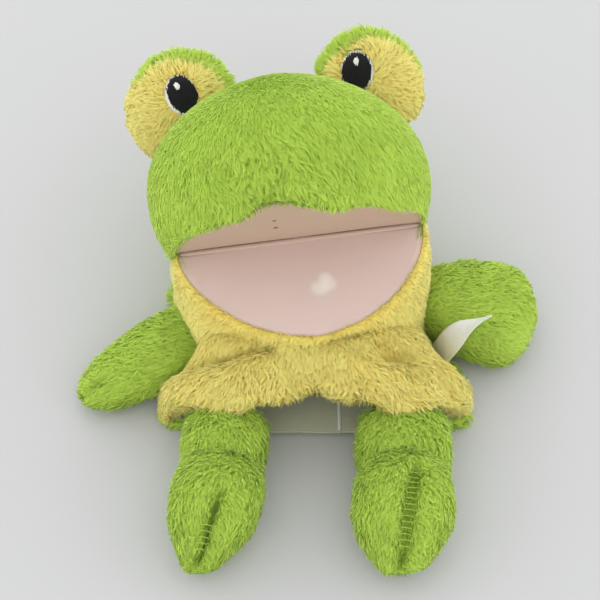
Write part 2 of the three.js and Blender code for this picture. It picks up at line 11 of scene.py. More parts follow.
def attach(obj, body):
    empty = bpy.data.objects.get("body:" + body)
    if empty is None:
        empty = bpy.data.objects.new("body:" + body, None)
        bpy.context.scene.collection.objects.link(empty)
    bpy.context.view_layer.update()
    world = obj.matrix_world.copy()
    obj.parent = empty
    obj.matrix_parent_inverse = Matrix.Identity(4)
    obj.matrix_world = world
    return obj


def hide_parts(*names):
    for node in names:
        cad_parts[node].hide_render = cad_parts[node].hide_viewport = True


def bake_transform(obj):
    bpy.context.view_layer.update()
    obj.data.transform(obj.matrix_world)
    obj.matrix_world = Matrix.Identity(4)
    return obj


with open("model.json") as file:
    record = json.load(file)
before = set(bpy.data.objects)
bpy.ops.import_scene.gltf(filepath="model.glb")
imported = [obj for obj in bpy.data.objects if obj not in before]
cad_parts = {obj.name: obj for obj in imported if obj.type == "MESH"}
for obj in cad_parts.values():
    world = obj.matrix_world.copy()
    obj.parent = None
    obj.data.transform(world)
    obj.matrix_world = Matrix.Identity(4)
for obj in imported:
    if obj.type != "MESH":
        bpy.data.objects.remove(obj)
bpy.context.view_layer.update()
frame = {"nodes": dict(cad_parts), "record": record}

MM = 0.001

# The mouth's fold and the turns of mouth and head, as in the source
FOLD = np.array([-9, 30, 62]) * MM
MOUTH_TURN = math.radians(9)
HEAD_TILT = math.radians(19)
FOLD_HALF = 75 * MM
PALATE_DEPTH = 71 * MM
PALATE_POWER = 1.75

# Head form
HEAD_HALF = np.array([87, 68, 79]) * MM
HEAD_RISE = 30 * MM
HEAD_FORWARD = 9 * MM
HEAD_POWER = 2.25
HEAD_PLAN_POWER = 1.75
CROWN_POWER = 2.05
CROWN_LEAN = 0.04
HEAD_ASIDE = -2.4 * MM
NECK_DEPTH = 54 * MM

# Eyes
EYE_SPREAD = 58 * MM
EYE_RISE = 99 * MM
EYE_FORWARD = -4 * MM
EYE_LOOK = math.radians(52)
EYE_BACK = 30.5 * MM
EYE_FRONT = 30 * MM
EYE_STRANDS = {"front": 40000, "back": 36000}
FRONT_DEPTH = 21.5 * MM
BACK_DEPTH = 18 * MM
EYE_BACK_FORE = 12 * MM
WHITE_HALF = np.array([10.0, 13.2]) * MM
PUPIL_HALF = np.array([8.9, 12.4]) * MM
WHITE_PLACE = {-1: np.array([0.8, 8.0]) * MM, 1: np.array([-9.0, 10.4]) * MM}
PUPIL_PLACE = {-1: np.array([1.6, 8.3]) * MM, 1: np.array([-9.9, 10.0]) * MM}
GLINT_SHIFT = {-1: np.array([-2.8, 5.6]) * MM, 1: np.array([0.4, 6.4]) * MM}
GLINT_HALF = np.array([1.5, 2.3]) * MM
EYE_LEAN = {-1: math.radians(18), 1: math.radians(-12)}

# Sleeve
HEM_HALF = 95 * MM
HEM_HEIGHT = 54 * MM
SLEEVE_FRONT = -86 * MM
SLEEVE_BACK = 50 * MM
SLEEVE_POWER = 3
WIDTH_SHARES = [1, 0.98, 0.9, 0.82, 0.78, 0.76, 0.79, 0.82, 0.7]
HEIGHT_SHARES = [0.94, 1.03, 1.1, 1.12, 0.95, 0.8, 0.8, 1.0, 1.0]
HEM_SHARES = [-1, -0.8, -0.55, -0.2, 0, 0.2, 0.55, 0.8, 1]
HEM_PLACES = np.array([-58, -68, -78, -71, -65, -69, -78, -66, -54]) * MM
HEM_RIPPLE = 2.6 * MM
HEM_RIPPLE_STEP = 34 * MM
BACK_THICK = 6 * MM


def smooth(edge0, edge1, value):
    t = np.clip((value - edge0) / (edge1 - edge0), 0, 1)
    return t * t * (3 - 2 * t)


def unit(vectors):
    return vectors / np.maximum(np.linalg.norm(vectors, axis=-1, keepdims=True), 1e-12)


def matrix(place, turn=0, tilt=0):
    turned = Matrix.Translation(place) @ Matrix.Rotation(turn, 4, "Z")
    return np.array(turned @ Matrix.Rotation(tilt, 4, "X"))


MOUTH = matrix(FOLD, MOUTH_TURN)
HEAD = matrix(FOLD, MOUTH_TURN, HEAD_TILT)


def moved(points, frame_matrix):
    return points @ frame_matrix[:3, :3].T + frame_matrix[:3, 3]


def moved_grid(grid, frame_matrix):
    return moved(grid.reshape(-1, 3), frame_matrix).reshape(grid.shape)


# Points in the axes of a frame.
def local_in(points, frame_matrix):
    return (points - frame_matrix[:3, 3]) @ frame_matrix[:3, :3]


# A smooth value at a share of the way along a list of evenly spaced shares.
def share_at(shares, along):
    shares = np.asarray(shares, float)
    t = np.clip(np.asarray(along, float), 0, 1) * (len(shares) - 1)
    i = np.minimum(t.astype(int), len(shares) - 2)
    w = t - i
    p = [shares[np.clip(i + k, 0, len(shares) - 1)] for k in (-1, 0, 1, 2)]
    v0, v1 = (p[2] - p[0]) / 2, (p[3] - p[1]) / 2
    cubic = (2 * p[1] - 2 * p[2] + v0 + v1) * w**3
    square = (-3 * p[1] + 3 * p[2] - 2 * v0 - v1) * w**2
    return cubic + square + v0 * w + p[1]


def soft_reach(across, up, power):
    return (np.abs(across) ** power + np.abs(up) ** power) ** (-1 / power)


# Large odd numbers that scatter the cells of the noise, one for each axis and one for the seed.
NOISE_KEYS = (73856093, 19349663, 83492791, 2654435761)
NOISE_SCATTER = 1274126177
NOISE_SHIFT = 1000
NOISE_HALF = 32767.5


# Smooth noise from -1 to 1, the same each run.
def noise(points, scale, seed=0):
    grid = points / scale + NOISE_SHIFT
    low = np.floor(grid).astype(np.int64)
    part = grid - low
    part = part * part * (3 - 2 * part)
    total = np.zeros(len(points))
    for corner in range(8):
        step = np.array([corner & 1, corner >> 1 & 1, corner >> 2 & 1])
        cell = low + step
        key = seed * NOISE_KEYS[3]
        for axis in range(3):
            key = key ^ (cell[:, axis] * NOISE_KEYS[axis])
        key = (key ^ (key >> 13)) * NOISE_SCATTER & 0xFFFFFFFF
        key = (key ^ (key >> 16)) & 0xFFFF
        weight = np.prod(np.where(step == 1, part, 1 - part), axis=1)
        total += weight * (key / NOISE_HALF - 1)
    return total


def noise3(points, scale, seed):
    return np.stack([noise(points, scale, seed + k) for k in range(3)], axis=1)


# Surfaces as grids


class Surface:
    """Points, triangles and point normals of a surface."""

    def __init__(self, points, triangles):
        self.points = np.asarray(points, float)
        self.triangles = np.asarray(triangles, int)

    def normals(self):
        a, b, c = (self.points[self.triangles[:, k]] for k in range(3))
        face = np.cross(b - a, c - a)
        total = np.zeros_like(self.points)
        for k in range(3):
            np.add.at(total, self.triangles[:, k], face)
        return unit(total)


def grid_surface(grid, closed=False, flip=False):
    rows, columns = grid.shape[:2]
    index = np.arange(rows * columns).reshape(rows, columns)
    right = np.roll(index, -1, axis=1) if closed else index[:, 1:]
    left = index if closed else index[:, :-1]
    a, b, c, d = left[:-1], right[:-1], right[1:], left[1:]
    halves = [np.stack(corners, -1).reshape(-1, 3) for corners in ((a, b, c), (a, c, d))]
    triangles = np.concatenate(halves)
    if flip:
        triangles = triangles[:, ::-1]
    return Surface(grid.reshape(-1, 3), triangles)


# Faces turned away from a place inside.
def outward(surface, middle):
    if (surface.normals() * (surface.points - middle)).sum(1).mean() < 0:
        surface.triangles = surface.triangles[:, ::-1]
    return surface


# A grid of rings, closed at both ends.
def capped(grid):
    ends = [np.repeat(grid[k].mean(0)[None, None], grid.shape[1], axis=1) for k in (0, -1)]
    return np.concatenate([ends[0], grid, ends[1]])


def mesh_object(name, surface, material, smooth_faces=True):
    mesh = bpy.data.meshes.new(name)
    mesh.vertices.add(len(surface.points))
    mesh.vertices.foreach_set("co", surface.points.astype(np.float32).ravel())
    count = len(surface.triangles)
    mesh.loops.add(count * 3)
    mesh.loops.foreach_set("vertex_index", surface.triangles.astype(np.int32).ravel())
    mesh.polygons.add(count)
    mesh.polygons.foreach_set("loop_start", np.arange(count, dtype=np.int32) * 3)
    mesh.update()
    mesh.validate()
    mesh.polygons.foreach_set("use_smooth", np.full(len(mesh.polygons), smooth_faces))
    mesh.materials.append(material)
    made = bpy.data.objects.new(name, mesh)
    bpy.context.scene.collection.objects.link(made)
    return made


# Fur


def sample(surface, count, weight, rng):
    a, b, c = (surface.points[surface.triangles[:, k]] for k in range(3))
    area = np.linalg.norm(np.cross(b - a, c - a), axis=1)
    middle = (a + b + c) / 3
    chance = area * (weight(middle) if weight else 1)
    face = rng.choice(len(area), size=count, p=chance / chance.sum())
    u, v = rng.random(count), rng.random(count)
    fold = u + v > 1
    u[fold], v[fold] = 1 - u[fold], 1 - v[fold]
    w = 1 - u - v
    corners = surface.triangles[face]
    normals = surface.normals()
    shares = np.stack([w, u, v], axis=1)[:, :, None]
    return (surface.points[corners] * shares).sum(1), unit((normals[corners] * shares).sum(1))


def tufts_of(roots, count):
    tree = kdtree.KDTree(count)
    for index in range(count):
        tree.insert(roots[index], index)
    tree.balance()
    return np.array([tree.find(root)[1] for root in roots])


class Pile:
    """How a plush pile grows. Sizes in metres, shares from 0 to 1."""

    def __init__(self, length, stand, reach, tuft, gather, rough=0.5):
        self.length, self.stand, self.reach = length, stand, reach
        self.tuft, self.gather, self.rough = tuft, gather, rough


STRAND_POINTS = 3
STRAND_WIDTH = 0.6 * MM
FLOOR_GAP = 0.3 * MM
TUFT_REACH = 3 * MM
# How far a sleek pile stands and reaches, as a share of a wild one.
SLEEK_STAND = 0.6
SLEEK_REACH = 0.65
# How far the comb, the height and the shade change over the cloth, how much, and the noise that each takes.
COMB_DRIFT, COMB_WANDER, COMB_SEED = 14 * MM, 0.6, 5
HEIGHT_DRIFT, HEIGHT_WAVE, HEIGHT_SEED = 7 * MM, 0.5, 9
SHADE_DRIFT, SHADE_WAVE, SHADE_SEED = 20 * MM, 0.18, 21
# How much each tuft and each strand strays.
TUFT_TURN, WILD_TURN, STRAND_TURN = 0.16, 0.2, 0.12
TUFT_HEIGHT, STRAND_HEIGHT = 0.35, 0.08
HEIGHT_LIMITS = (0.35, 1.6)
SHORTEST, LENGTH_RANGE = 0.85, 0.3
# Random tone for each tuft and strand, and painted light: taller tufts take a lighter shade value, lower
# ones a deeper one as painted shade.
TUFT_SHADE, STRAND_SHADE, HEIGHT_PAINTED_LIGHT = 0.12, 0.04, 0.4
LOOSE_PULL = 0.3
ROOT_RISE = 0.45
BLADE_TWIST = 0.2
# A strand's shading normal: mostly the cloth's, a little of its own.
CLOTH_NORMAL, BLADE_NORMAL = 0.9, 0.12
# Where the baked map starts, and how far apart it keeps the sides of a strand.
BAKE_EDGE = 0.02
BAKE_SIDES = np.array([-1, 1, 0]) * 0.004


def along_surface(direction, normals):
    return unit(direction - (direction * normals).sum(1, keepdims=True) * normals)


def fur_object(name, surface, material, pile, count, comb, seed, weight=None, length_share=None, rough=None):
    rng = np.random.default_rng(seed)
    roots, normals = sample(surface, count, weight, rng)
    tufts = tufts_of(roots, max(1, count // pile.tuft))
    wild = np.full(count, pile.rough) if rough is None else rough(roots)
    wild = wild[:, None]
    direction = unit(comb(roots)) + wild * COMB_WANDER * noise3(roots, COMB_DRIFT, seed + COMB_SEED)
    heading = along_surface(direction, normals)
    turn = rng.normal(size=(count, 3))
    heading = unit(heading + turn[tufts] * (TUFT_TURN + WILD_TURN * wild) + turn * STRAND_TURN)
    heading = along_surface(heading, normals)
    waves = HEIGHT_WAVE * noise(roots, HEIGHT_DRIFT, seed + HEIGHT_SEED)
    height = 1 + (waves + TUFT_HEIGHT * rng.normal(size=count)[tufts]) * wild[:, 0]
    stand = pile.stand * (SLEEK_STAND + (1 - SLEEK_STAND) * wild)
    stand = stand * np.clip(height + STRAND_HEIGHT * rng.normal(size=count), *HEIGHT_LIMITS)[:, None]
    reach = pile.reach * (SLEEK_REACH + (1 - SLEEK_REACH) * wild)
    length = pile.length * (SHORTEST + LENGTH_RANGE * rng.random(count))
    if length_share is not None:
        length = length * length_share(roots)
    length = length[:, None]
    rise = normals * stand * length * ROOT_RISE
    tips = roots + (normals * stand + heading * reach) * length
    close = np.clip(1 - np.linalg.norm(roots - roots[tufts], axis=1, keepdims=True) / TUFT_REACH, 0, 1)
    pull = pile.gather * wild * (LOOSE_PULL + (1 - LOOSE_PULL) * close)
    tips = tips + (tips[tufts] - tips) * pull
    side = unit(np.cross(tips - roots, normals) + rng.normal(size=(count, 3)) * BLADE_TWIST)
    flat = side * STRAND_WIDTH * 0.5
    corners = np.stack([roots + rise - flat, roots + rise + flat, tips], axis=1)
    corners[:, :, 2] = np.maximum(corners[:, :, 2], FLOOR_GAP)
    triangles = np.arange(count)[:, None] * STRAND_POINTS + np.arange(STRAND_POINTS)
    facing = np.cross(flat, tips - roots)
    turned = (facing * normals).sum(1) < 0
    triangles[turned] = triangles[turned][:, ::-1]
    made = mesh_object(name, Surface(corners.reshape(-1, 3), triangles), material)
    # Painted light and shade: taller tufts are lighter, lower ones deeper.
    lift = (height - 1) * HEIGHT_PAINTED_LIGHT * wild[:, 0]
    shade = 0.5 + lift + SHADE_WAVE * noise(roots, SHADE_DRIFT, seed + SHADE_SEED)
    tuft_shade = TUFT_SHADE * rng.normal(size=count)[tufts] * wild[:, 0]
    shade = np.clip(shade + tuft_shade + STRAND_SHADE * rng.normal(size=count), 0, 1)
    paint(made, np.tile(np.array([0, 0, 1.0]), count), np.repeat(shade, STRAND_POINTS))
    blade = unit(facing * np.where(turned, -1, 1)[:, None])
    soft = unit(normals * CLOTH_NORMAL + blade * BLADE_NORMAL)
    custom = np.repeat(soft, STRAND_POINTS, axis=0)
    made.data.normals_split_custom_set_from_vertices(custom.tolist())
    return made


def paint(obj, along, shade):
    for name, values in (("along", along), ("shade", shade)):
        attribute = obj.data.attributes.new(name, "FLOAT", "POINT")
        attribute.data.foreach_set("value", np.asarray(values, np.float32))
    layer = obj.data.uv_layers.new(name="OFBake")
    loops = np.empty(len(obj.data.loops), np.int32)
    obj.data.loops.foreach_get("vertex_index", loops)
    side = BAKE_SIDES[np.arange(len(along)) % STRAND_POINTS]
    u = BAKE_EDGE + (1 - 2 * BAKE_EDGE) * shade + side
    v = BAKE_EDGE + (1 - 2 * BAKE_EDGE) * along
    layer.data.foreach_set("uv", np.stack([u, v], 1)[loops].astype(np.float32).ravel())


# Materials


def new_material(name):
    made = bpy.data.materials.new(name)
    made.use_nodes = True
    nodes = made.node_tree.nodes
    return made, nodes, made.node_tree.links, nodes["Principled BSDF"]


def ramp(nodes, stops):
    made = nodes.new("ShaderNodeValToRGB")
    elements = made.color_ramp.elements
    while len(elements) < len(stops):
        elements.new(0.5)
    for element, (place, colour) in zip(elements, stops):
        element.position = place
        element.color = (*colour, 1)
    return made


def noise_node(nodes, links, scale, detail=3, roughness=0.55):
    coordinates = nodes.new("ShaderNodeTexCoord")
    texture = nodes.new("ShaderNodeTexNoise")
    texture.inputs["Scale"].default_value = scale
    texture.inputs["Detail"].default_value = detail
    texture.inputs["Roughness"].default_value = roughness
    links.new(coordinates.outputs["Object"], texture.inputs["Vector"])
    return texture


def mix(nodes, links, kind, factor, first, second):
    made = nodes.new("ShaderNodeMix")
    made.data_type = "RGBA"
    made.blend_type = kind
    for socket, value in ((made.inputs[0], factor), (made.inputs[6], first), (made.inputs[7], second)):
        if isinstance(value, bpy.types.NodeSocket):
            links.new(value, socket)
        elif isinstance(value, tuple):
            socket.default_value = (*value, 1)
        else:
            socket.default_value = value
    return made.outputs[2]


def bump(nodes, links, shader, height, strength, distance):
    made = nodes.new("ShaderNodeBump")
    made.inputs["Strength"].default_value = strength
    made.inputs["Distance"].default_value = distance
    links.new(height, made.inputs["Height"])
    links.new(made.outputs["Normal"], shader.inputs["Normal"])


# Fibres let this share of the light pass.
LIGHT_THROUGH = 0.3


def pile_material(name, root, middle, tip, deep, pale):
    made, nodes, links, shader = new_material(name)
    along = nodes.new("ShaderNodeAttribute")
    along.attribute_name = "along"
    shade = nodes.new("ShaderNodeAttribute")
    shade.attribute_name = "shade"
    # Painted shade: a strand is darker at its root, deep in the pile, and lighter towards its tip.
    colour = ramp(nodes, [(0.0, root), (0.5, middle), (1.0, tip)])
    links.new(along.outputs["Fac"], colour.inputs["Fac"])
    # A low shade value, partly random tone and partly painted shade on tufts that sit low, tints the strand
    # deeper.
    tint = ramp(nodes, [(0.1, deep), (0.5, (1, 1, 1)), (0.9, pale)])
    links.new(shade.outputs["Fac"], tint.inputs["Fac"])
    tinted = mix(nodes, links, "MULTIPLY", 1.0, colour.outputs["Color"], tint.outputs["Color"])
    links.new(tinted, shader.inputs["Base Color"])
    shader.inputs["Roughness"].default_value = 0.8
    shader.inputs["Specular IOR Level"].default_value = 0.2
    shader.inputs["Sheen Weight"].default_value = 0.3
    shader.inputs["Sheen Roughness"].default_value = 0.4
    shader.inputs["Sheen Tint"].default_value = (*pale, 1)
    through = nodes.new("ShaderNodeBsdfTranslucent")
    links.new(tinted, through.inputs["Color"])
    both = nodes.new("ShaderNodeMixShader")
    both.inputs[0].default_value = LIGHT_THROUGH
    links.new(shader.outputs[0], both.inputs[1])
    links.new(through.outputs[0], both.inputs[2])
    links.new(both.outputs[0], nodes["Material Output"].inputs["Surface"])
    return made


def skin_material(name, dark, light):
    made, nodes, links, shader = new_material(name)
    texture = noise_node(nodes, links, 260)
    colour = ramp(nodes, [(0.35, dark), (0.7, light)])
    links.new(texture.outputs["Fac"], colour.inputs["Fac"])
    links.new(colour.outputs["Color"], shader.inputs["Base Color"])
    shader.inputs["Roughness"].default_value = 0.95
    shader.inputs["Specular IOR Level"].default_value = 0.1
    bump(nodes, links, shader, texture.outputs["Fac"], 0.4, 0.4 * MM)
    return made


# A smooth knit: fine ribs that only the bump shows, on a soft uneven tone.
def cloth_material(name, colour, deep, thread, strength, roughness=0.85, spots=None):
    made, nodes, links, shader = new_material(name)
    coordinates = nodes.new("ShaderNodeTexCoord")
    waves = []
    for direction in ("X", "Y"):
        wave = nodes.new("ShaderNodeTexWave")
        wave.bands_direction = direction
        wave.inputs["Scale"].default_value = 1 / (thread * 20)
        wave.inputs["Distortion"].default_value = 0.6
        wave.inputs["Detail"].default_value = 1
        wave.inputs["Detail Scale"].default_value = 2
        links.new(coordinates.outputs["Object"], wave.inputs["Vector"])
        waves.append(wave.outputs["Fac"])
    height = nodes.new("ShaderNodeMath")
    height.operation = "ADD"
    links.new(waves[0], height.inputs[0])
    links.new(waves[1], height.inputs[1])
    uneven = noise_node(nodes, links, 28, 5, 0.6)
    tone = ramp(nodes, [(0.3, deep), (0.7, colour)])
    links.new(uneven.outputs["Fac"], tone.inputs["Fac"])
    shown = tone.outputs["Color"]
    for place, reach, spot_colour, amount in spots or ():
        shown = spot(nodes, links, shown, place, reach, spot_colour, amount)
    links.new(shown, shader.inputs["Base Color"])
    shader.inputs["Roughness"].default_value = roughness
    shader.inputs["Specular IOR Level"].default_value = 0.25
    shader.inputs["Sheen Weight"].default_value = 0.15
    bump(nodes, links, shader, height.outputs[0], strength, 0.2 * MM)
    return made


# A soft round mark at a place in the frame.
def spot(nodes, links, below, place, reach, colour, amount):
    coordinates = nodes.new("ShaderNodeTexCoord")
    distance = nodes.new("ShaderNodeVectorMath")
    distance.operation = "DISTANCE"
    links.new(coordinates.outputs["Object"], distance.inputs[0])
    distance.inputs[1].default_value = place
    share = nodes.new("ShaderNodeMapRange")
    share.interpolation_type = "SMOOTHSTEP"
    share.inputs["From Min"].default_value = reach
    share.inputs["From Max"].default_value = reach * 0.3
    share.inputs["To Max"].default_value = amount
    links.new(distance.outputs["Value"], share.inputs["Value"])
    return mix(nodes, links, "MIX", share.outputs["Result"], below, colour)


# Fur colours from root to tip: the darker roots are painted shade deep in the pile, the tips lighter.
GREEN_SHADED_ROOT = (0.60, 0.80, 0.125)
GREEN_MIDDLE = (0.64, 0.84, 0.14)
GREEN_TIP = (0.67, 0.86, 0.16)
GREEN_DEEP_TONE_AND_SHADE = (0.80, 0.84, 0.72)
GREEN_PALE = (1.0, 1.0, 1.0)
YELLOW_SHADED_ROOT = (0.98, 0.84, 0.24)
YELLOW_MIDDLE = (0.98, 0.91, 0.31)
YELLOW_TIP = (0.98, 0.94, 0.38)
YELLOW_DEEP_TONE_AND_SHADE = (1.0, 0.88, 0.66)
YELLOW_PALE = (1.0, 1.0, 1.0)

green_pile = pile_material("green_pile", GREEN_SHADED_ROOT, GREEN_MIDDLE, GREEN_TIP, GREEN_DEEP_TONE_AND_SHADE, GREEN_PALE)
yellow_pile = pile_material("yellow_pile", YELLOW_SHADED_ROOT, YELLOW_MIDDLE, YELLOW_TIP, YELLOW_DEEP_TONE_AND_SHADE, YELLOW_PALE)
green_skin = skin_material("green_skin", (0.55, 0.76, 0.11), (0.60, 0.80, 0.125))
yellow_skin = skin_material("yellow_skin", (0.94, 0.79, 0.21), (0.98, 0.84, 0.24))
# Marks in the mouth, in millimetres: a pale patch of three spots below and two specks above.
PALE_PATCH_PLACES = ((3, -6, 61, 7.5), (8, -3, 61, 7), (6, 1.5, 61, 5.5))
SPECK_PLACES = ((-24.0, 16.2, 97.3, 1.8), (-23.3, 20.5, 85, 2.1))
PALE_PATCH_SPOTS = [(np.array(place[:3]) * MM, place[3] * MM, (0.84, 0.79, 0.74), 0.6) for place in PALE_PATCH_PLACES]
SPECK_SPOTS = [(np.array(place[:3]) * MM, place[3] * MM, (0.05, 0.04, 0.03), 1.0) for place in SPECK_PLACES]
# The upper mouth cloth is the same pink lining as the lower, coloured darker and browner as painted shade.
UPPER_SHADED_COLOURS = (0.50, 0.365, 0.265), (0.485, 0.355, 0.255)
LOWER_COLOURS = (0.68, 0.53, 0.49), (0.66, 0.51, 0.47)
upper_shaded_cloth = cloth_material("upper_shaded_cloth", *UPPER_SHADED_COLOURS, 0.25 * MM, 0.1, 0.8, SPECK_SPOTS)
mouth_cloth = cloth_material("mouth_cloth", *LOWER_COLOURS, 0.25 * MM, 0.1, 0.75, PALE_PATCH_SPOTS)
# The white lining is coloured dark olive as painted shade, with the green of the fur thrown onto it.
shaded_lining_cloth = cloth_material("shaded_lining_cloth", (0.48, 0.49, 0.38), (0.44, 0.45, 0.34), 0.5 * MM, 0.08)
white_thread = cloth_material("white_thread", (0.80, 0.80, 0.78), (0.72, 0.72, 0.70), 0.3 * MM, 0.2, 0.6)
BLACK_COLOURS = (0.006, 0.006, 0.007), (0.004, 0.004, 0.005)
black_thread = cloth_material("black_thread", *BLACK_COLOURS, 0.3 * MM, 0.2, 0.6)
board_card = cloth_material("board_card", (0.55, 0.50, 0.42), (0.48, 0.43, 0.35), 1.2 * MM, 0.1, 0.9)
# The fold's cloth: the mouth's cloth made darker as painted shade in the crease.
fold_shaded_cloth = cloth_material("fold_shaded_cloth", (0.56, 0.42, 0.35), (0.54, 0.40, 0.33), 0.25 * MM, 0.1, 0.8)
green_thread = cloth_material("green_thread", (0.34, 0.50, 0.06), (0.30, 0.45, 0.05), 0.3 * MM, 0.2, 0.7)
satin = cloth_material("satin", (0.78, 0.79, 0.78), (0.72, 0.73, 0.72), 0.3 * MM, 0.1, 0.42)


# Head

PILE_HEAD = Pile(7.5 * MM, 0.40, 0.75, 9, 0.7, 0.45)
PILE_BELLY = Pile(7.5 * MM, 0.42, 0.72, 9, 0.7, 0.6)
PILE_LIMB = Pile(6.5 * MM, 0.44, 0.7, 9, 0.7, 0.8)
PILE_EYE = Pile(7 * MM, 0.5, 0.66, 9, 0.7, 0.9)
SKIN_INSET = 3 * MM


def ring(half_x, half_z, power, angles):
    reach = soft_reach(np.cos(angles), np.sin(angles), power)
    return half_x * reach * np.cos(angles), half_z * reach * np.sin(angles)


# Rises and sags of the lip's edge: how high, where along the lip and how wide.
LIP_WAVES = np.array([(6.5, -21, 8), (-10, 14, 18), (-6.5, 50, 18), (-4.5, -40, 10), (-3, -57, 11)]) * MM


# The head's skin in the head's own axes: rows from the crown down to the lip, then round into the mouth.
def head_surface(inset):
    angles = np.linspace(0, 2 * np.pi, 120, endpoint=False)
    half = HEAD_HALF - inset
    bottom = -(HEAD_RISE - inset * 0.4) / half[1]
    turns = np.linspace(np.pi / 2, np.arcsin(bottom), 40)
    rows = []
    for turn in turns:
        level = np.sin(turn)
        power = CROWN_POWER if level > 0 else HEAD_POWER
        share = (1 - abs(level) ** power) ** (1 / power)
        x, z = ring(half[0] * share, half[2] * share, HEAD_PLAN_POWER, angles)
        rise = half[1] * level
        x = x + HEAD_ASIDE - CROWN_LEAN * max(rise, 0)
        rows.append(np.stack([x, np.full_like(x, HEAD_RISE + rise), z + HEAD_FORWARD], 1))
    rim_x, rim_z = rows[-1][:, 0], rows[-1][:, 2]
    front = angles < np.pi
    notch = sum(rise * np.exp(-(((rim_x - place) / reach) ** 2)) for rise, place, reach in LIP_WAVES) * front
    rows[-1][:, 1] += notch
    inner_x = (FOLD_HALF + 0.5 * MM) * np.cos(angles)
    inner_z = np.where(front, (PALATE_DEPTH + 0.5 * MM) * np.sin(angles), NECK_DEPTH * np.sin(angles))
    for share, drop in ((0.25, -0.5 * MM), (0.6, -0.2 * MM), (1.0, 1.5 * MM), (1.0, 7 * MM)):
        x = rim_x + (inner_x - rim_x) * share
        z = rim_z + (inner_z - rim_z) * share
        rows.append(np.stack([x, drop + notch * (1 - share), z], 1))
    return np.array(rows)


def head_comb(points):
    local = local_in(points, HEAD)
    away = local - np.array([-12, 50, -10]) * MM
    down = np.zeros_like(local)
    down[:, 1] = -1
    spread = unit(away * np.array([1, 0, 0.6]))
    return (down * 0.7 + spread * 0.7) @ HEAD[:3, :3].T


# How far above the fold the head's inside is surely met.
HEAD_RISE = 30 * MM


def make_head():
    surface = grid_surface(moved_grid(head_surface(SKIN_INSET), HEAD), closed=True)
    outward(surface, moved(np.array([[0, HEAD_RISE, 0]]), HEAD))
    skin = mesh_object("head_plush", surface, green_skin)
    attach(skin, "head")
    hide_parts("head_crown", "head_filling")

    def weight(points):
        local = local_in(points, HEAD)
        in_mouth = np.hypot(local[:, 0] / FOLD_HALF, local[:, 2] / PALATE_DEPTH) < 1.02
        inside = smooth(6 * MM, 2 * MM, local[:, 1]) * in_mouth
        return np.where(inside > 0.5, 0.02, 1.0)

    def rough(points):
        local = local_in(points, HEAD)
        aside = (local[:, 0] + 18 * MM) / (42 * MM)
        return 0.12 + 0.85 * smooth(50 * MM, 22 * MM, local[:, 1]) * np.exp(-(aside**2)) * (local[:, 2] > 0)

    pile = fur_object(
        "head_pile", surface, green_pile, PILE_HEAD, 170000, head_comb, 11, weight, rough=rough
    )
    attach(pile, "head")


make_head()


# Eyes


def pod_surface(radius, depth, fore, low, high, rows=20, columns=64):
    angles = np.linspace(0, 2 * np.pi, columns, endpoint=False)
    grid = []
    for turn in np.linspace(low, high, rows):
        reach = radius * np.cos(turn)
        z = (fore if turn > 0 else depth) * np.sin(turn)
        grid.append(np.stack([reach * np.cos(angles), reach * np.sin(angles), np.full(columns, z)], 1))
    return np.array(grid)


def make_eye(side, name, seed):
    place = HEAD @ matrix((side * EYE_SPREAD, EYE_RISE, EYE_FORWARD), 0, math.pi / 2 - EYE_LOOK - HEAD_TILT)
    middle = place[:3, 3]
    forward = place[:3, 2]
    crown = HEAD_HALF - SKIN_INSET

    def outside_head(points):
        local = local_in(points, HEAD) - np.array([HEAD_ASIDE, HEAD_RISE, HEAD_FORWARD])
        local[:, 0] += CROWN_LEAN * np.maximum(local[:, 1], 0)
        local = np.abs(local / crown)
        plan = (local[:, 0] ** HEAD_PLAN_POWER + local[:, 2] ** HEAD_PLAN_POWER) ** (1 / HEAD_PLAN_POWER)
        return plan**CROWN_POWER + local[:, 1] ** CROWN_POWER > 0.97

    halves = (
        ("front", EYE_FRONT, FRONT_DEPTH, -0.35, math.pi / 2, yellow_skin, yellow_pile, "yellow_plush"),
        ("back", EYE_BACK, BACK_DEPTH, -math.pi / 2, 1.2, green_skin, green_pile, "green_plush"),
    )
    for part, radius, depth, low, high, skin_look, pile_look, slot in halves:
        count = EYE_STRANDS[part]
        shift = front_shift(side) if part == "front" else 0
        grid = pod_surface(radius, depth, depth if part == "front" else EYE_BACK_FORE, low, high)
        surface = grid_surface(moved(grid.reshape(-1, 3) + shift, place).reshape(grid.shape), closed=True)
        skin = mesh_object(f"eye_{name}_{part}_plush", surface, skin_look)
        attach(skin, "head")
        if part == "front":
            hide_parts(f"eye_{name}_front", f"eye_{name}_filling")
        else:
            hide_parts(f"eye_{name}_back")

        def comb(points):
            away = points - middle
            away = away - (away @ forward)[:, None] * forward
            if part == "front":
                return unit(away)
            return unit(away) * 0.2 - forward * 0.3

        def weight(points):
            keep = outside_head(points).astype(float)
            if part == "front":
                local = (points - middle) @ place[:3, :3]
                local = local[:, :2] - WHITE_PLACE[side] - shift[:2]
                keep *= np.hypot(local[:, 0] / WHITE_HALF[0], local[:, 1] / WHITE_HALF[1]) > 0.96
            return keep + 1e-6

        part_seed = seed + (part == "back")
        name_of_pile = f"eye_{name}_{part}_pile"
        pile = fur_object(name_of_pile, surface, pile_look, PILE_EYE, count, comb, part_seed, weight)
        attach(pile, "head")
    make_embroidery(name, side, place)


# The yellow front of each pod sits a little outwards and down on the green back.
def front_shift(side):
    return np.array([-2.5 if side < 0 else 1, -5, 0]) * MM


def on_pod(x, y, lift, side, place):
    radius, depth = EYE_FRONT + lift, FRONT_DEPTH + lift
    z = depth * np.sqrt(np.maximum(0, 1 - (x * x + y * y) / radius**2))
    return moved(np.stack([x, y, z], -1).reshape(-1, 3) + front_shift(side), place)


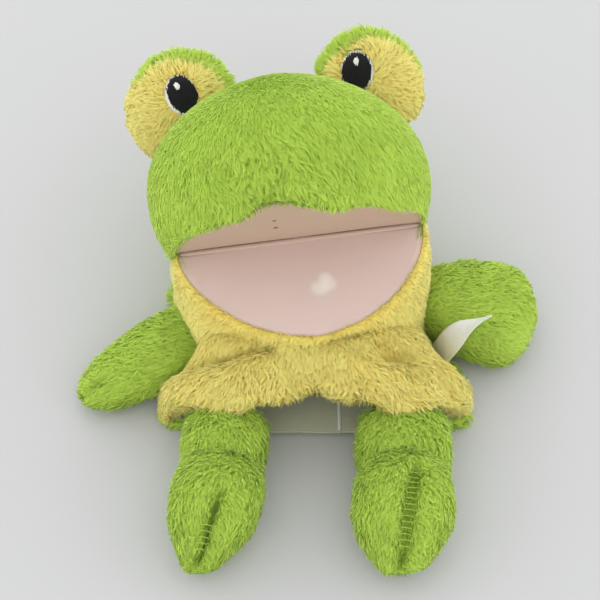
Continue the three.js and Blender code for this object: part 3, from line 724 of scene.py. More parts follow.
THREAD_PITCH = 0.5 * MM
THREAD_HEIGHT = 0.3 * MM
THREAD_RAGGED = 0.7 * MM
THREAD_POINTS = 12
THREAD_WANDER = 0.08 * MM
THREAD_SLANT = 0.25 * MM
THREAD_SINK = 0.5 * MM
# Across a thread: its sides and its crest, as shares of the pitch and of the height.
THREAD_PROFILE = ((-0.55, -0.1), (0.0, 1.0), (0.55, -0.1))
# The pad below the threads: rings as shares of the oval, with their heights in millimetres.
PAD_RINGS = ((0.01, 0.0), (0.6, 0.0), (0.9, -0.1), (0.96, -0.4), (0.96, -2.0))


# Satin stitch: threads side by side over an oval, with slightly uneven ends, on a low pad.
def embroidered(name, centre, half, lift, side, place, look, node, lean, seed):
    rng = np.random.default_rng(seed)
    turn = np.array([[math.cos(lean), math.sin(lean)], [-math.sin(lean), math.cos(lean)]])
    points, triangles = [], []

    def add(grid_xy, heights, closed):
        spots = np.array(grid_xy).reshape(-1, 2) @ turn + centre
        lifts = lift + np.array(heights).reshape(-1)
        rows = len(grid_xy)
        placed = np.concatenate([on_pod(xy[:1], xy[1:], up, side, place) for xy, up in zip(spots, lifts)])
        part = grid_surface(placed.reshape(rows, -1, 3), closed=closed, flip=not closed)
        triangles.append(part.triangles + sum(len(p) for p in points))
        points.append(part.points)

    turns = np.linspace(0, 2 * np.pi, 40, endpoint=False)
    oval = np.stack([half[0] * np.cos(turns), half[1] * np.sin(turns)], 1)
    rims = [oval * share for share, _ in PAD_RINGS]
    add(rims, [[height * MM] * len(turns) for _, height in PAD_RINGS], True)
    count = int(2 * half[0] / THREAD_PITCH)
    for index in range(count):
        across = -half[0] + (index + 0.5) * THREAD_PITCH
        reach = half[1] * math.sqrt(max(0.0, 1 - (across / half[0]) ** 2))
        low, high = -reach + rng.normal() * THREAD_RAGGED, reach + rng.normal() * THREAD_RAGGED
        along = np.linspace(low, high, THREAD_POINTS)
        shares = np.linspace(-1, 1, THREAD_POINTS)
        wander = across + rng.normal() * THREAD_WANDER + (rng.normal() * THREAD_SLANT) * shares
        ends = 1 - np.abs(shares) ** 6
        columns, ups = [], []
        for shift, up in THREAD_PROFILE:
            columns.append(np.stack([wander + shift * THREAD_PITCH, along], 1))
            ups.append(THREAD_HEIGHT * up * ends - THREAD_SINK * (1 - ends))
        add(columns, ups, False)
    made = mesh_object(name, Surface(np.concatenate(points), np.concatenate(triangles)), look)
    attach(made, "head")
    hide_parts(node)


def make_embroidery(name, side, place):
    pupil = PUPIL_PLACE[side]
    lean = EYE_LEAN[side]
    parts = (
        ("white", WHITE_PLACE[side], WHITE_HALF, 1.2 * MM, white_thread, "felt", lean + math.pi / 2),
        ("pupil", pupil, PUPIL_HALF, 1.9 * MM, black_thread, "pupil", lean),
        ("glint", pupil + GLINT_SHIFT[side], GLINT_HALF, 2.5 * MM, white_thread, "felt", lean),
    )
    for index, (part, centre, half, lift, look, slot, angle) in enumerate(parts):
        size = half[::-1] if part == "white" else half
        node, seed = f"eye_{name}_{part}", 600 + 10 * side + index
        embroidered(f"{node}_stitch", centre, size, lift, side, place, look, node, angle, seed)


make_eye(-1, "left", 31)
make_eye(1, "right", 41)


# Mouth


PALATE_START = 0.5 * MM
PALATE_LIFT = 0.2 * MM
PALATE_DIP = 1.2 * MM
PALATE_EDGE = 2.5 * MM
PALATE_TURN = 1.005
PALATE_THICK = 1.0 * MM


def palate(name, down, node, body):
    """Half of the mouth's cloth. down is True for the jaw."""
    turns = np.linspace(0, np.pi, 60)
    reach = soft_reach(np.cos(turns), np.sin(turns), PALATE_POWER)
    grid = []

    def add(x, depth, height):
        height = np.full_like(x, height)
        grid.append(np.stack([x, -depth, -height] if down else [x, height, depth], 1))

    for share in np.linspace(0.0, 1.0, 22):
        x = FOLD_HALF * share * reach * np.cos(turns)
        depth = PALATE_START + (PALATE_DEPTH - PALATE_START) * share * reach * np.sin(turns)
        add(x, depth, PALATE_LIFT + PALATE_DIP * (1 - share**6) * 0.6)
    add(x * PALATE_TURN, depth * PALATE_TURN, PALATE_EDGE)
    grid = np.array(grid)
    place = MOUTH if down else HEAD
    surface = grid_surface(moved_grid(grid, place), flip=not down)
    # The upper half takes the darker cloth: painted shade.
    made = mesh_object(name, surface, mouth_cloth if down else upper_shaded_cloth)
    thick = made.modifiers.new("thickness", "SOLIDIFY")
    thick.thickness = PALATE_THICK
    thick.offset = -1
    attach(made, body)
    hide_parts(node)


palate("upper_mouth", False, "upper_palate", "head")
palate("lower_mouth", True, "lower_palate", "jaw")


# Jaw


# Rows of the chin in the mouth's axes, in millimetres: half width, reach to the lip, height, roundness.
CHIN_ROWS = (
    (75.2, 71.2, -9, 1.75),
    (75.2, 71.2, -1.5, 1.75),
    (75.8, 72.2, 0.2, 1.78),
    (76.4, 73.8, -0.5, 1.84),
    (76.8, 75.2, -3, 1.92),
    (77, 76, -7, 2.0),
    (77, 76.4, -12, 2.05),
    (76, 75, -19, 2.1),
    (72, 70, -25, 2.1),
    (60, 60, -30, 2.1),
    (36, 38, -32, 2.1),
    (2, 2, -32.5, 2.0),
)
# The same for the throat, which joins the chin to the sleeve: the heights at the sides and at the front.
THROAT_ROWS = (
    (75.5, 74, -4, -4, 1.9),
    (76.5, 76, -8, -8, 2.0),
    (77, 77, -13, -12, 2.1),
    (77, 78, -19, -15, 2.2),
    (77, 79, -26, -19, 2.3),
    (77, 80, -33, -24, 2.4),
    (77, 80, -40, -30, 2.5),
    (77, 80, -48, -36, 2.6),
    (77, 80, -54, -42, 2.6),
)
JAW_SIDE = 0.06


def jaw_arc(columns):
    angles = np.linspace(-np.pi - JAW_SIDE, JAW_SIDE, columns)
    return np.cos(angles), np.minimum(np.sin(angles), 0.0)


def palate_share(local):
    across, along = np.abs(local[:, 0] / FOLD_HALF), np.abs(local[:, 1] / PALATE_DEPTH)
    return (across**PALATE_POWER + along**PALATE_POWER) ** (1 / PALATE_POWER)


def chin_grid():
    c, d = jaw_arc(120)
    rows = []
    for half, reach, height, power in CHIN_ROWS:
        wide = soft_reach(c, d, power)
        y = reach * MM * d * wide - 3 * MM * smooth(-12, -30, height) * (d > -0.2)
        rows.append(np.stack([half * MM * c * wide, y, np.full_like(c, height * MM)], 1))
    return np.array(rows)


def throat_grid():
    c, d = jaw_arc(130)
    front = np.abs(d) ** 1.5
    rows = []
    for half, reach, side_height, front_height, power in THROAT_ROWS:
        wide = soft_reach(c, d, power)
        z = (side_height * (1 - front) + front_height * front) * MM
        rows.append(np.stack([half * MM * c * wide, reach * MM * d * wide, z], 1))
    return np.array(rows)


def chin_comb(points):
    local = local_in(points, MOUTH)
    away = unit(local * np.array([1, 1, 0]) + np.array([0, 20 * MM, 0]))
    down = np.zeros_like(local)
    down[:, 2] = -1
    top = smooth(-8 * MM, 0, local[:, 2])[:, None]
    return (away * (0.4 + top) + down * (1.2 - top)) @ MOUTH[:3, :3].T


# Creases and swells of the belly cloth, in millimetres: a line of places, its reach and its rise.
FOLD_LINES = (
    (((-28, -44, 56), (-38, -46, 54), (-54, -50, 50), (-80, -49, 40)), 4, -10),
    (((-56, -38, 54), (-68, -32, 50)), 10, 5),
    (((36, -40, 57), (50, -32, 55), (62, -22, 52)), 3.4, -7),
    (((42, -49, 50), (51, -46, 48)), 7.5, -11),
    (((14, -47, 54), (28, -54, 52), (46, -58, 50)), 5, 4),
    (((62, -33, 50), (76, -54, 40), (92, -66, 26)), 6, 5),
    (((-30, -60, 54), (-50, -66, 50), (-80, -62, 36)), 8, 3),
)


def line_distance(points, line):
    best = np.full(len(points), np.inf)
    for start, end in zip(line[:-1], line[1:]):
        start, end = np.array(start) * MM, np.array(end) * MM
        step = end - start
        along = np.clip((points - start) @ step / (step @ step), 0, 1)
        best = np.minimum(best, np.linalg.norm(points - start - along[:, None] * step, axis=1))
    return best


def creased(surface):
    normals = surface.normals()
    rise = np.zeros(len(surface.points))
    for line, reach, height in FOLD_LINES:
        rise += height * MM * np.exp(-((line_distance(surface.points, line) / (reach * MM)) ** 2))
    surface.points = surface.points + normals * rise[:, None]
    return surface


def cloth_rough(points):
    return 0.45 + 0.5 * smooth(-45 * MM, -70 * MM, points[:, 1])


def make_chin():
    grid = chin_grid()
    surface = grid_surface(moved_grid(grid, MOUTH))
    outward(surface, moved(np.array([[0, -30, -12]]) * MM, MOUTH))
    skin = mesh_object("chin_plush", surface, yellow_skin)
    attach(skin, "jaw")
    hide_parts("chin", "chin_padding")

    def weight(points):
        local = local_in(points, MOUTH)
        inner = palate_share(local) < 1.012
        return np.where(inner & (local[:, 2] > -12 * MM), 0.01, 1.0)

    def length_share(points):
        local = local_in(points, MOUTH)
        return 0.55 + 0.45 * smooth(0, -6 * MM, local[:, 2])

    pile = fur_object(
        "chin_pile", surface, yellow_pile, PILE_BELLY, 80000, chin_comb, 51, weight, length_share
    )
    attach(pile, "jaw")


def make_throat():
    grid = throat_grid()
    surface = grid_surface(moved_grid(grid, MOUTH))
    outward(surface, moved(np.array([[0, -30, -20]]) * MM, MOUTH))
    surface = creased(surface)
    skin = mesh_object("throat_plush", surface, yellow_skin)
    pile = fur_object(
        "throat_pile", surface, yellow_pile, PILE_BELLY, 70000, chin_comb, 53, rough=cloth_rough
    )
    for piece in (skin, pile):
        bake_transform(piece)


make_chin()
make_throat()


# Sleeve


def spine(along):
    y = SLEEVE_FRONT + along * (SLEEVE_BACK - SLEEVE_FRONT)
    x = -9 * MM * smooth(-40 * MM, 38 * MM, y) - 3 * MM * smooth(30 * MM, 60 * MM, y)
    return x, y


def hem_at(x):
    return share_at_places(np.array(HEM_SHARES) * HEM_HALF, HEM_PLACES, x)


def share_at_places(places, values, at):
    at = np.clip(at, places[0], places[-1])
    i = np.clip(np.searchsorted(places, at) - 1, 0, len(places) - 2)
    t = (at - places[i]) / (places[i + 1] - places[i])
    t = t * t * (3 - 2 * t)
    return values[i] * (1 - t) + values[i + 1] * t


def sleeve_point(along, angle, inset):
    x, y = spine(along)
    half = HEM_HALF * share_at(WIDTH_SHARES, along) - inset
    height = HEM_HEIGHT * share_at(HEIGHT_SHARES, along) - inset
    reach = soft_reach(np.cos(angle), np.sin(angle), SLEEVE_POWER)
    across = half * reach * np.cos(angle)
    fade = np.maximum(0, 1 - along * 3)
    ripple = HEM_RIPPLE * fade * np.cos(across / HEM_RIPPLE_STEP * 2 * np.pi)
    return x + across, y, reach * np.sin(angle) * height + ripple * np.sin(angle)


def sleeve_grid(inset, start_share, end_share, rows, columns=110, low=6.6 * MM):
    angles = np.linspace(0.0, np.pi, columns)
    grid = []
    for share in np.linspace(start_share, end_share, rows):
        along = np.full(columns, share)
        x, y, z = sleeve_point(along, angles, inset)
        hem = hem_at(x)
        y = y + (hem - SLEEVE_FRONT) * smooth(0.35, 0.0, along)
        z = np.minimum(z, under_mouth(x, y))
        grid.append(np.stack([x, y, np.maximum(z, low)], 1))
    return np.array(grid)


UNDER_HALF = 79 * MM
UNDER_POWER = 2.2
UNDER_LOW = 26 * MM
UNDER_RISE = 60 * MM


# How high the belly may reach at a place, so that the chin and the mouth lie free on it.
def under_mouth(x, y):
    local = (np.stack([x, y, np.zeros_like(x)], 1) - MOUTH[:3, 3]) @ MOUTH[:3, :3]
    ahead = np.minimum(local[:, 1], 0)
    reaches = [np.abs(part / UNDER_HALF) ** UNDER_POWER for part in (local[:, 0], ahead)]
    share = (reaches[0] + reaches[1]) ** (1 / UNDER_POWER)
    return UNDER_LOW + UNDER_RISE * smooth(0.85, 1.0, share)


BELLY_LOW = 3 * MM


def make_belly():
    outer = sleeve_grid(SKIN_INSET, 0.0, 0.90, 60)
    inner = sleeve_grid(8.6 * MM, 0.0, 0.12, 5)
    edge = (outer[0] + inner[0]) / 2
    edge[:, 1] -= 2.2 * MM
    grid = np.concatenate([inner[::-1], edge[None], outer])
    surface = grid_surface(grid)
    if (surface.normals()[:, 2]).mean() < 0:
        surface.triangles = surface.triangles[:, ::-1]
    surface.points += noise3(surface.points, 24 * MM, 301) * 1.4 * MM
    surface = creased(surface)
    surface.points[:, 2] = np.maximum(surface.points[:, 2], BELLY_LOW)
    skin = mesh_object("belly_plush", surface, yellow_skin)
    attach(skin, "torso")
    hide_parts("belly_panel")

    def comb(points):
        down = np.zeros_like(points)
        down[:, 1] = -1
        down[:, 0] = points[:, 0] / (120 * MM)
        return down

    def weight(points):
        behind = points[:, 1] > hem_at(points[:, 0]) + 6 * MM
        inside = behind & (points[:, 2] < 30 * MM) & (np.abs(points[:, 0]) < 70 * MM)
        return np.where(inside, 0.1, 1.0) * (points[:, 1] < 35 * MM) + 0.01

    looks = (yellow_pile, PILE_BELLY)
    pile = fur_object("belly_pile", surface, *looks, 150000, comb, 61, weight, rough=cloth_rough)
    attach(pile, "torso")


make_belly()


BACK_BEYOND = 3 * MM
BACK_FRONT = -67 * MM
BACK_INSET = 0.6 * MM
# The lobe of the back panel that shows at the right of the hem: its place, half length and reach.
LOBE = np.array([-30, 18, 9]) * MM


# The sides of the back panel, from the hem to the neck.
def back_sides():
    along = np.linspace(0, 1, 60)
    x, y = spine(along)
    half = HEM_HALF * share_at(WIDTH_SHARES, along) + BACK_BEYOND
    lobe = np.exp(-(((y - LOBE[0]) / LOBE[1]) ** 2)) * LOBE[2]
    return x - half, x + half + lobe, y


def make_back():
    left, right, y = back_sides()
    keep = y > BACK_FRONT
    left, right, y = left[keep], right[keep], y[keep]
    turns = np.linspace(0, 2 * np.pi, 64, endpoint=False)
    grid = []
    for row_left, row_right, row_y in zip(left, right, y):
        middle, half = (row_left + row_right) / 2, (row_right - row_left) / 2
        corner = smooth(-72 * MM, -58 * MM, row_y)
        half = half * (0.86 + 0.14 * corner)
        x = middle + half * np.sign(np.cos(turns)) * np.abs(np.cos(turns)) ** 0.4
        rise = np.sign(np.sin(turns)) * np.abs(np.sin(turns)) ** 0.8
        z = BACK_THICK / 2 + (BACK_THICK / 2 - BACK_INSET) * rise
        grid.append(np.stack([x, np.full_like(x, row_y), z], 1))
    surface = outward(grid_surface(capped(np.array(grid)), closed=True), np.array([0, 0, BACK_THICK / 2]))
    skin = mesh_object("back_plush", surface, green_skin)
    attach(skin, "torso")
    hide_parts("back_panel")

    def comb(points):
        out = np.zeros_like(points)
        out[:, 0] = points[:, 0] / (60 * MM)
        out[:, 1] = -0.5
        return out

    def weight(points):
        top = (points[:, 2] > 4.5 * MM) & (np.abs(points[:, 0]) < 74 * MM)
        return np.where(top, 0.0, 1.0)

    pile = fur_object("back_pile", surface, green_pile, PILE_EYE, 80000, comb, 71, weight)
    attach(pile, "torso")


make_back()


# The nape joins the sleeve to the back of the head, from one corner of the mouth round to the other.
NAPE_HALF = 74.5 * MM
NAPE_DROP = 58.5 * MM
NAPE_POWER = 7
NAPE_INSIDE = 12 * MM
NAPE_ON_HEAD = 7 * MM
NAPE_BULGE = {-1: 18 * MM, 1: 12 * MM}
NAPE_LOW = 2.2 * MM
NAPE_ROWS = 14
NAPE_STEP_IN = 4 * MM


def nape_grid():
    angles = np.linspace(np.pi, 2 * np.pi, 90)
    c, d = np.cos(angles), np.sin(angles)
    reach = soft_reach(c, d, NAPE_POWER)
    across, drop = c * reach, d * reach
    back = np.full_like(c, -NAPE_INSIDE)
    inside = moved(np.stack([across * (NAPE_HALF - NAPE_STEP_IN), back, drop * NAPE_DROP], 1), MOUTH)
    edge = moved(np.stack([across * NAPE_HALF, 0 * c, drop * NAPE_DROP], 1), MOUTH)
    half = HEAD_HALF - SKIN_INSET
    level = (NAPE_ON_HEAD - HEAD_RISE) / half[1]
    share = (1 - abs(level) ** HEAD_POWER) ** (1 / HEAD_POWER)
    x, z = ring(half[0] * share, half[2] * share, HEAD_PLAN_POWER, angles)
    onto = moved(np.stack([x + HEAD_ASIDE, np.full_like(x, NAPE_ON_HEAD), z + HEAD_FORWARD], 1), HEAD)
    bulge = np.where(c < 0, NAPE_BULGE[-1], NAPE_BULGE[1]) * np.sin(2 * angles) ** 2
    push = (MOUTH[:3, 0] * np.sign(c)[:, None] + MOUTH[:3, 1] * 0.5 - MOUTH[:3, 2] * 0.3) * bulge[:, None]
    grid = [inside]
    for share in np.linspace(0, 1, NAPE_ROWS):
        row = edge * (1 - share) + onto * share
        across = (row - MOUTH[:3, 3]) @ MOUTH[:3, 0]
        row = row + push * 4 * share * (1 - share)
        pushed = (row - MOUTH[:3, 3]) @ MOUTH[:3, 0]
        limit = np.maximum(np.abs(across), NAPE_HALF)
        grid.append(row + (np.clip(pushed, -limit, limit) - pushed)[:, None] * MOUTH[:3, 0])
    grid = np.array(grid)
    grid[:, :, 2] = np.maximum(grid[:, :, 2], NAPE_LOW)
    return grid


def make_nape():
    surface = outward(grid_surface(nape_grid()), FOLD + np.array([0, 0, -24]) * MM)
    surface.points += noise3(surface.points, 22 * MM, 311) * 0.9 * MM
    surface.points[:, 2] = np.maximum(surface.points[:, 2], NAPE_LOW)

    def comb(points):
        return np.repeat(-HEAD[:3, 1][None], len(points), axis=0)

    skin = mesh_object("nape_plush", surface, green_skin)
    pile = fur_object("nape_pile", surface, green_pile, PILE_LIMB, 26000, comb, 75)
    for piece in (skin, pile):
        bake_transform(piece)


make_nape()


# Limbs

LIMB_SHARES = {
    "arm_left": ([0.95, 1, 1, 0.94, 0.84, 0.74], [0.9, 1, 0.98, 0.85, 0.72, 0.6]),
    "arm_right": ([0.5, 0.68, 0.88, 1, 1, 0.98], [0.85, 1, 1, 0.95, 0.9, 0.8]),
    "leg": ([0.95, 1, 0.98, 0.9], [0.95, 1, 1, 0.94]),
    "foot_left": ([0.88, 1, 1, 0.93, 0.8, 0.66], [0.9, 1, 1, 0.92, 0.82, 0.7]),
    "foot_right": ([0.84, 0.96, 1, 0.99, 0.92, 0.84], [0.9, 1, 1, 0.92, 0.82, 0.7]),
}


class Groove:
    """A sewn furrow along the top of a limb: its depth and width, and how far aside it starts."""

    def __init__(self, depth, width, start, aside):
        self.depth, self.width, self.start, self.aside = depth, width, start, aside

    def middle(self, along, bend):
        return bend * along**2 + self.aside * (1 - along)


LIMB_ROWS = 56
LIMB_SIDES = 96


# Rings of a limb from its seam to its tip, which starts to close at a share of its length.
def limb_grid(length, half_width, half_height, shares, round_from, power, bend=0.0, groove=None):
    inset = SKIN_INSET
    widths, heights = shares
    angles = np.linspace(0, 2 * np.pi, LIMB_SIDES, endpoint=False)
    across, up = np.cos(angles), np.sin(angles)
    reach = soft_reach(across, up, power)
    grid = []
    for step in range(LIMB_ROWS):
        along = min(math.sin(math.pi / 2 * step / (LIMB_ROWS - 1)), 0.9999)
        tip = max(0, (along - round_from) / (1 - round_from))
        close = math.sqrt(1 - tip * tip)
        full = half_height * share_at(heights, along)
        wide = (half_width * share_at(widths, along) - inset) * close
        high = (full - inset) * close
        y = across * reach * wide + bend * along**2
        z = full * 0.94 + up * reach * high
        x = np.full(LIMB_SIDES, along * (length - inset))
        if groove is not None:
            off = (y - groove.middle(along, bend)) / groove.width
            dent = groove.depth * np.exp(-(off**2)) * smooth(groove.start, groove.start + 0.2, along)
            dent = np.where(up > 0, dent, 0) * min(1, high / (8 * MM))
            z = z - dent
            x = x - dent * 0.4 * along
        grid.append(np.stack([x, y, np.maximum(inset * 0.6, z)], 1))
    grid.append(np.repeat(grid[-1].mean(0)[None], LIMB_SIDES, axis=0))
    return np.array(grid)


# The sewn end of a limb: a shallow round cap behind its first ring, as shares of the ring and steps back.
SEAM_END = ((0.0, 2.6), (0.4, 2.4), (0.7, 1.8), (0.9, 0.8))


def closed_at_seam(grid):
    ring, middle = grid[0], grid[0].mean(0)
    end = [middle + (ring - middle) * share - np.array([step * MM, 0, 0]) for share, step in SEAM_END]
    return np.concatenate([end, grid])


def make_limb(name, place, turn, grid, count, seed, bend=0.0, groove=None, length=1.0):
    frame_matrix = matrix(place, turn)
    grid = closed_at_seam(grid)
    surface = grid_surface(moved_grid(grid, frame_matrix), closed=True)
    outward(surface, moved(np.array([[grid[:, :, 0].mean(), 0, grid[:, :, 2].mean()]]), frame_matrix))
    skin = mesh_object(f"{name}_plush", surface, green_skin)
    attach(skin, name)
    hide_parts(name, f"{name}_filling")
    direction = frame_matrix[:3, 0]
    aside = frame_matrix[:3, 1]

    def from_groove(points):
        local = local_in(points, frame_matrix)
        along = np.clip(local[:, 0] / length, 0, 1)
        off = (local[:, 1] - groove.middle(along, bend)) / groove.width
        return local, off, smooth(groove.start, groove.start + 0.2, along) * (local[:, 2] > 10 * MM)

    def comb(points):
        out = np.repeat(direction[None], len(points), axis=0)
        if groove is None:
            return out
        _, off, amount = from_groove(points)
        spread = 0.9 * np.sign(off) * np.exp(-((off / 2.2) ** 2)) * amount
        return out + aside * spread[:, None]

    def weight(points):
        local = local_in(points, frame_matrix)
        return np.where(local[:, 2] < 4 * MM, 0.35, 1.0)

    def length_share(points):
        if groove is None:
            return np.ones(len(points))
        _, off, amount = from_groove(points)
        return 1 - 0.6 * np.exp(-((off / 1.1) ** 2)) * amount

    looks = (green_pile, PILE_LIMB)
    pile = fur_object(f"{name}_pile", surface, *looks, count, comb, seed, weight, length_share)
    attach(pile, name)
    return surface


# Ladder stitches across a groove: short threads that sink into the fur at both ends.
def ladder(name, body, place, turn, surface, length, bend, groove, low, high):
    tree = kdtree.KDTree(len(surface.points))
    for index, point in enumerate(surface.points):
        tree.insert(point, index)
    tree.balance()
    frame_matrix = matrix(place, turn)
    points, triangles = [], []
    for along in np.arange(low, high, LADDER_PITCH / length):
        middle = groove.middle(along, bend)
        y = middle + np.linspace(-LADDER_REACH, LADDER_REACH, 7)
        local = np.stack([np.full(7, along * length), y, np.full(7, 80 * MM)], 1)
        world = moved(local, frame_matrix)
        for index, stitch in enumerate(world):
            near = [surface.points[i] for _, i, _ in tree.find_n((stitch[0], stitch[1], LADDER_SEEK), 6)]
            world[index, 2] = np.mean([p[2] for p in near]) + LADDER_RISE - LADDER_SINK * abs(index - 3) / 3
        world[:, 2] = np.convolve(np.pad(world[:, 2], 2, mode="edge"), np.full(5, 0.2), "valid")
        ahead = frame_matrix[:3, 0] * LADDER_THICK
        grid = np.stack([world - ahead, world + np.array([0, 0, LADDER_THICK]), world + ahead])
        part = grid_surface(grid)
        triangles.append(part.triangles + sum(len(p) for p in points))
        points.append(part.points)
    made = mesh_object(name, Surface(np.concatenate(points), np.concatenate(triangles)), green_thread)
    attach(made, body)


LADDER_PITCH = 3.2 * MM
LADDER_REACH = 3 * MM
LADDER_THICK = 0.25 * MM
LADDER_SEEK = 45 * MM
LADDER_RISE = 2.2 * MM
LADDER_SINK = 1.2 * MM
ARM_GROOVE = Groove(3.5 * MM, 3 * MM, 0.7, 3 * MM)
FOOT_GROOVES = {-1: Groove(8 * MM, 3.0 * MM, 0.3, 6 * MM), 1: Groove(10 * MM, 4.6 * MM, 0.05, 6.5 * MM)}
FOOT_BENDS = {-1: -9 * MM, 1: -2 * MM}
FOOT_LENGTH = 65 * MM
ANKLE_INSET = 0.8 * MM
ANKLE_BACK = 12 * MM
ANKLE_AHEAD = 9 * MM
LEG_LENGTH = 31 * MM


# The ankle joins leg and foot: a short band inside both, so that no gap opens when the foot bends.
def make_ankle(name, ankle, turn, leg, foot, seed):
    ahead = np.array([LEG_LENGTH, 0, 0])
    rings = [ring for ring in leg if ring[0, 0] > LEG_LENGTH - ANKLE_BACK]
    rings += [ring + ahead for ring in foot if 0 < ring[0, 0] < ANKLE_AHEAD]
    grid = np.array(rings) - ahead
    middle = grid.mean(1, keepdims=True)
    grid = grid + (middle - grid) * (ANKLE_INSET / (20 * MM))
    frame_matrix = matrix(ankle, turn)
    surface = grid_surface(moved_grid(grid, frame_matrix), closed=True)
    outward(surface, moved(np.array([[0, 0, middle[0, 0, 2]]]), frame_matrix))
    direction = frame_matrix[:3, 0]
    skin = mesh_object(f"ankle_{name}_plush", surface, green_skin)

    def comb(points):
        return np.repeat(direction[None], len(points), axis=0)

    pile = fur_object(f"ankle_{name}_pile", surface, green_pile, PILE_LIMB, 14000, comb, seed)
    for piece in (skin, pile):
        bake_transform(piece)


# Length, half width and half height, and the place of the seam, in metres.
ARM_LEFT = np.array([94, 23.5, 18.5]) * MM
ARM_LEFT_PLACE = np.array([-61, -4, 0]) * MM
ARM_RIGHT = np.array([78, 34.5, 20.5]) * MM
ARM_RIGHT_PLACE = np.array([60, 15.5, 0]) * MM
# Side, name, half width of the foot, heading in degrees and where the ladder stitches start.
LEGS = ((-1, "left", 26.5 * MM, -94, 0.7), (1, "right", 29.5 * MM, -92, 0.22))
LEG_WHOLE = 41 * MM
LEG_NARROWER = 1 * MM
LEG_HEIGHT = 23 * MM
FOOT_HEIGHT = 25.5 * MM
HIP = (52, -76)


def make_limbs():
    arm = limb_grid(*ARM_LEFT, LIMB_SHARES["arm_left"], 0.72, 2.2, groove=ARM_GROOVE)
    make_limb(
        "arm_left", ARM_LEFT_PLACE, math.radians(211), arm, 75000, 81, groove=ARM_GROOVE, length=ARM_LEFT[0]
    )
    arm = limb_grid(*ARM_RIGHT, LIMB_SHARES["arm_right"], 0.76, 2.9)
    make_limb("arm_right", ARM_RIGHT_PLACE, math.radians(-12), arm, 90000, 82)
    for side, name, half, degrees, low in LEGS:
        turn = math.radians(degrees)
        hip = np.array([side * HIP[0], HIP[1], 0]) * MM
        direction = np.array([math.cos(turn), math.sin(turn), 0])
        leg = limb_grid(LEG_WHOLE, half - LEG_NARROWER, LEG_HEIGHT, LIMB_SHARES["leg"], 0.98, 2.2)
        leg = leg[leg[:, :, 0].mean(1) < LEG_LENGTH]
        make_limb(f"leg_{name}", hip, turn, leg, 50000, 83 + side)
        ankle = hip + direction * LEG_LENGTH
        groove, bend = FOOT_GROOVES[side], FOOT_BENDS[side]
        shares = LIMB_SHARES[f"foot_{name}"]
        foot = limb_grid(FOOT_LENGTH, half, FOOT_HEIGHT, shares, 0.42, 2.2, bend, groove)
        surface = make_limb(f"foot_{name}", ankle, turn, foot, 95000, 87 + side, bend, groove, FOOT_LENGTH)
        make_ankle(name, ankle, turn, leg, foot, 93 + side)
        body = f"foot_{name}"
        ladder(f"{body}_ladder", body, ankle, turn, surface, FOOT_LENGTH, bend, groove, low, 0.9)


make_limbs()


# Inside


# A sewn cloth piece with the form of its CAD node, cut finer and slightly creased.
def cloth_copy(node, body, crease, flat, area):
    source = frame["nodes"][node]
    mesh = source.data.copy()
    mesh.transform(source.matrix_world)
    work = bmesh.new()
    work.from_mesh(mesh)
    bmesh.ops.remove_doubles(work, verts=work.verts, dist=0.01 * MM)
    bmesh.ops.triangulate(work, faces=work.faces)
    for _ in range(4):
        long_edges = [edge for edge in work.edges if edge.calc_length() > CLOTH_STEP]
        if not long_edges:
            break
        bmesh.ops.subdivide_edges(work, edges=long_edges, cuts=1, use_grid_fill=False)
        bmesh.ops.triangulate(work, faces=work.faces)
    work.to_mesh(mesh)
    work.free()
    points = np.empty(len(mesh.vertices) * 3, np.float32)
    mesh.vertices.foreach_get("co", points)
    points = points.reshape(-1, 3).astype(float)
    points += noise3(points * np.array([1.6, 1, 1]), 16 * MM, 900 + len(node)) * (crease * MM)
    if node.endswith("lining"):
        points[:, 2] = np.maximum(points[:, 2], LINING_LOW)
    if node == "front_lining":
        points[:, 1] = np.maximum(points[:, 1], hem_at(points[:, 0]) + LINING_BACK)
    mesh.vertices.foreach_set("co", points.astype(np.float32).ravel())
    # The inner cloths take the lining painted dark olive as shade.
    mesh.materials.clear()
    mesh.materials.append(shaded_lining_cloth)
    mesh.update()
    made = bpy.data.objects.new(f"{node}_cloth", mesh)
    bpy.context.scene.collection.objects.link(made)
    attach(made, body)
    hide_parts(node)


CLOTH_STEP = 5 * MM
LINING_LOW = 6.2 * MM
LINING_BACK = 5 * MM
# Node, body, crease in millimetres, flat size and flat area of each inner cloth.
INNER_CLOTHS = (
    ("front_lining", "torso", 0.5, (0.24, 0.13), 0.0225),
    ("back_lining", "torso", 0.5, (0.17, 0.13), 0.0176),
    ("finger_pocket", "head", 0.3, (0.13, 0.13), 0.0159),
    ("thumb_pocket", "jaw", 0.3, (0.075, 0.058), None),
)


# The mouth's fold: one soft crease of the same cloth, coloured darker than the lower mouth cloth as painted
# shade in the crease.
def make_fold():
    turns = np.linspace(0, 2 * np.pi, 12, endpoint=False)
    rows = []
    for x in np.linspace(-FOLD_HALF, FOLD_HALF, 60):
        round_off = math.sqrt(max(0.0, 1 - (x / FOLD_HALF) ** 20)) + 0.02
        y = FOLD_RADIUS * np.cos(turns) * round_off - FOLD_FORWARD
        z = 0.6 * FOLD_RADIUS * np.sin(turns) * round_off - FOLD_SINK
        rows.append(np.stack([np.full(12, x), y, z], 1))
    surface = grid_surface(moved_grid(np.array(rows), MOUTH), closed=True)
    outward(surface, MOUTH[:3, 3])
    made = mesh_object("fold_crease", surface, fold_shaded_cloth)
    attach(made, "torso")
    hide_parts("fold_tape")


FOLD_RADIUS = 1.7 * MM
FOLD_FORWARD = 0.3 * MM
FOLD_SINK = 0.5 * MM
LABEL_PATH = ((74, -25, 9), (78, -27, 34), (88, -24, 46), (105, -19, 51))
LABEL_HALF = 9 * MM
LABEL_THICK = 0.35 * MM
LABEL_BASE = np.array([0.25, -0.93, -0.25])
TOWARDS_VIEW = np.array([0, -0.574, 0.819])


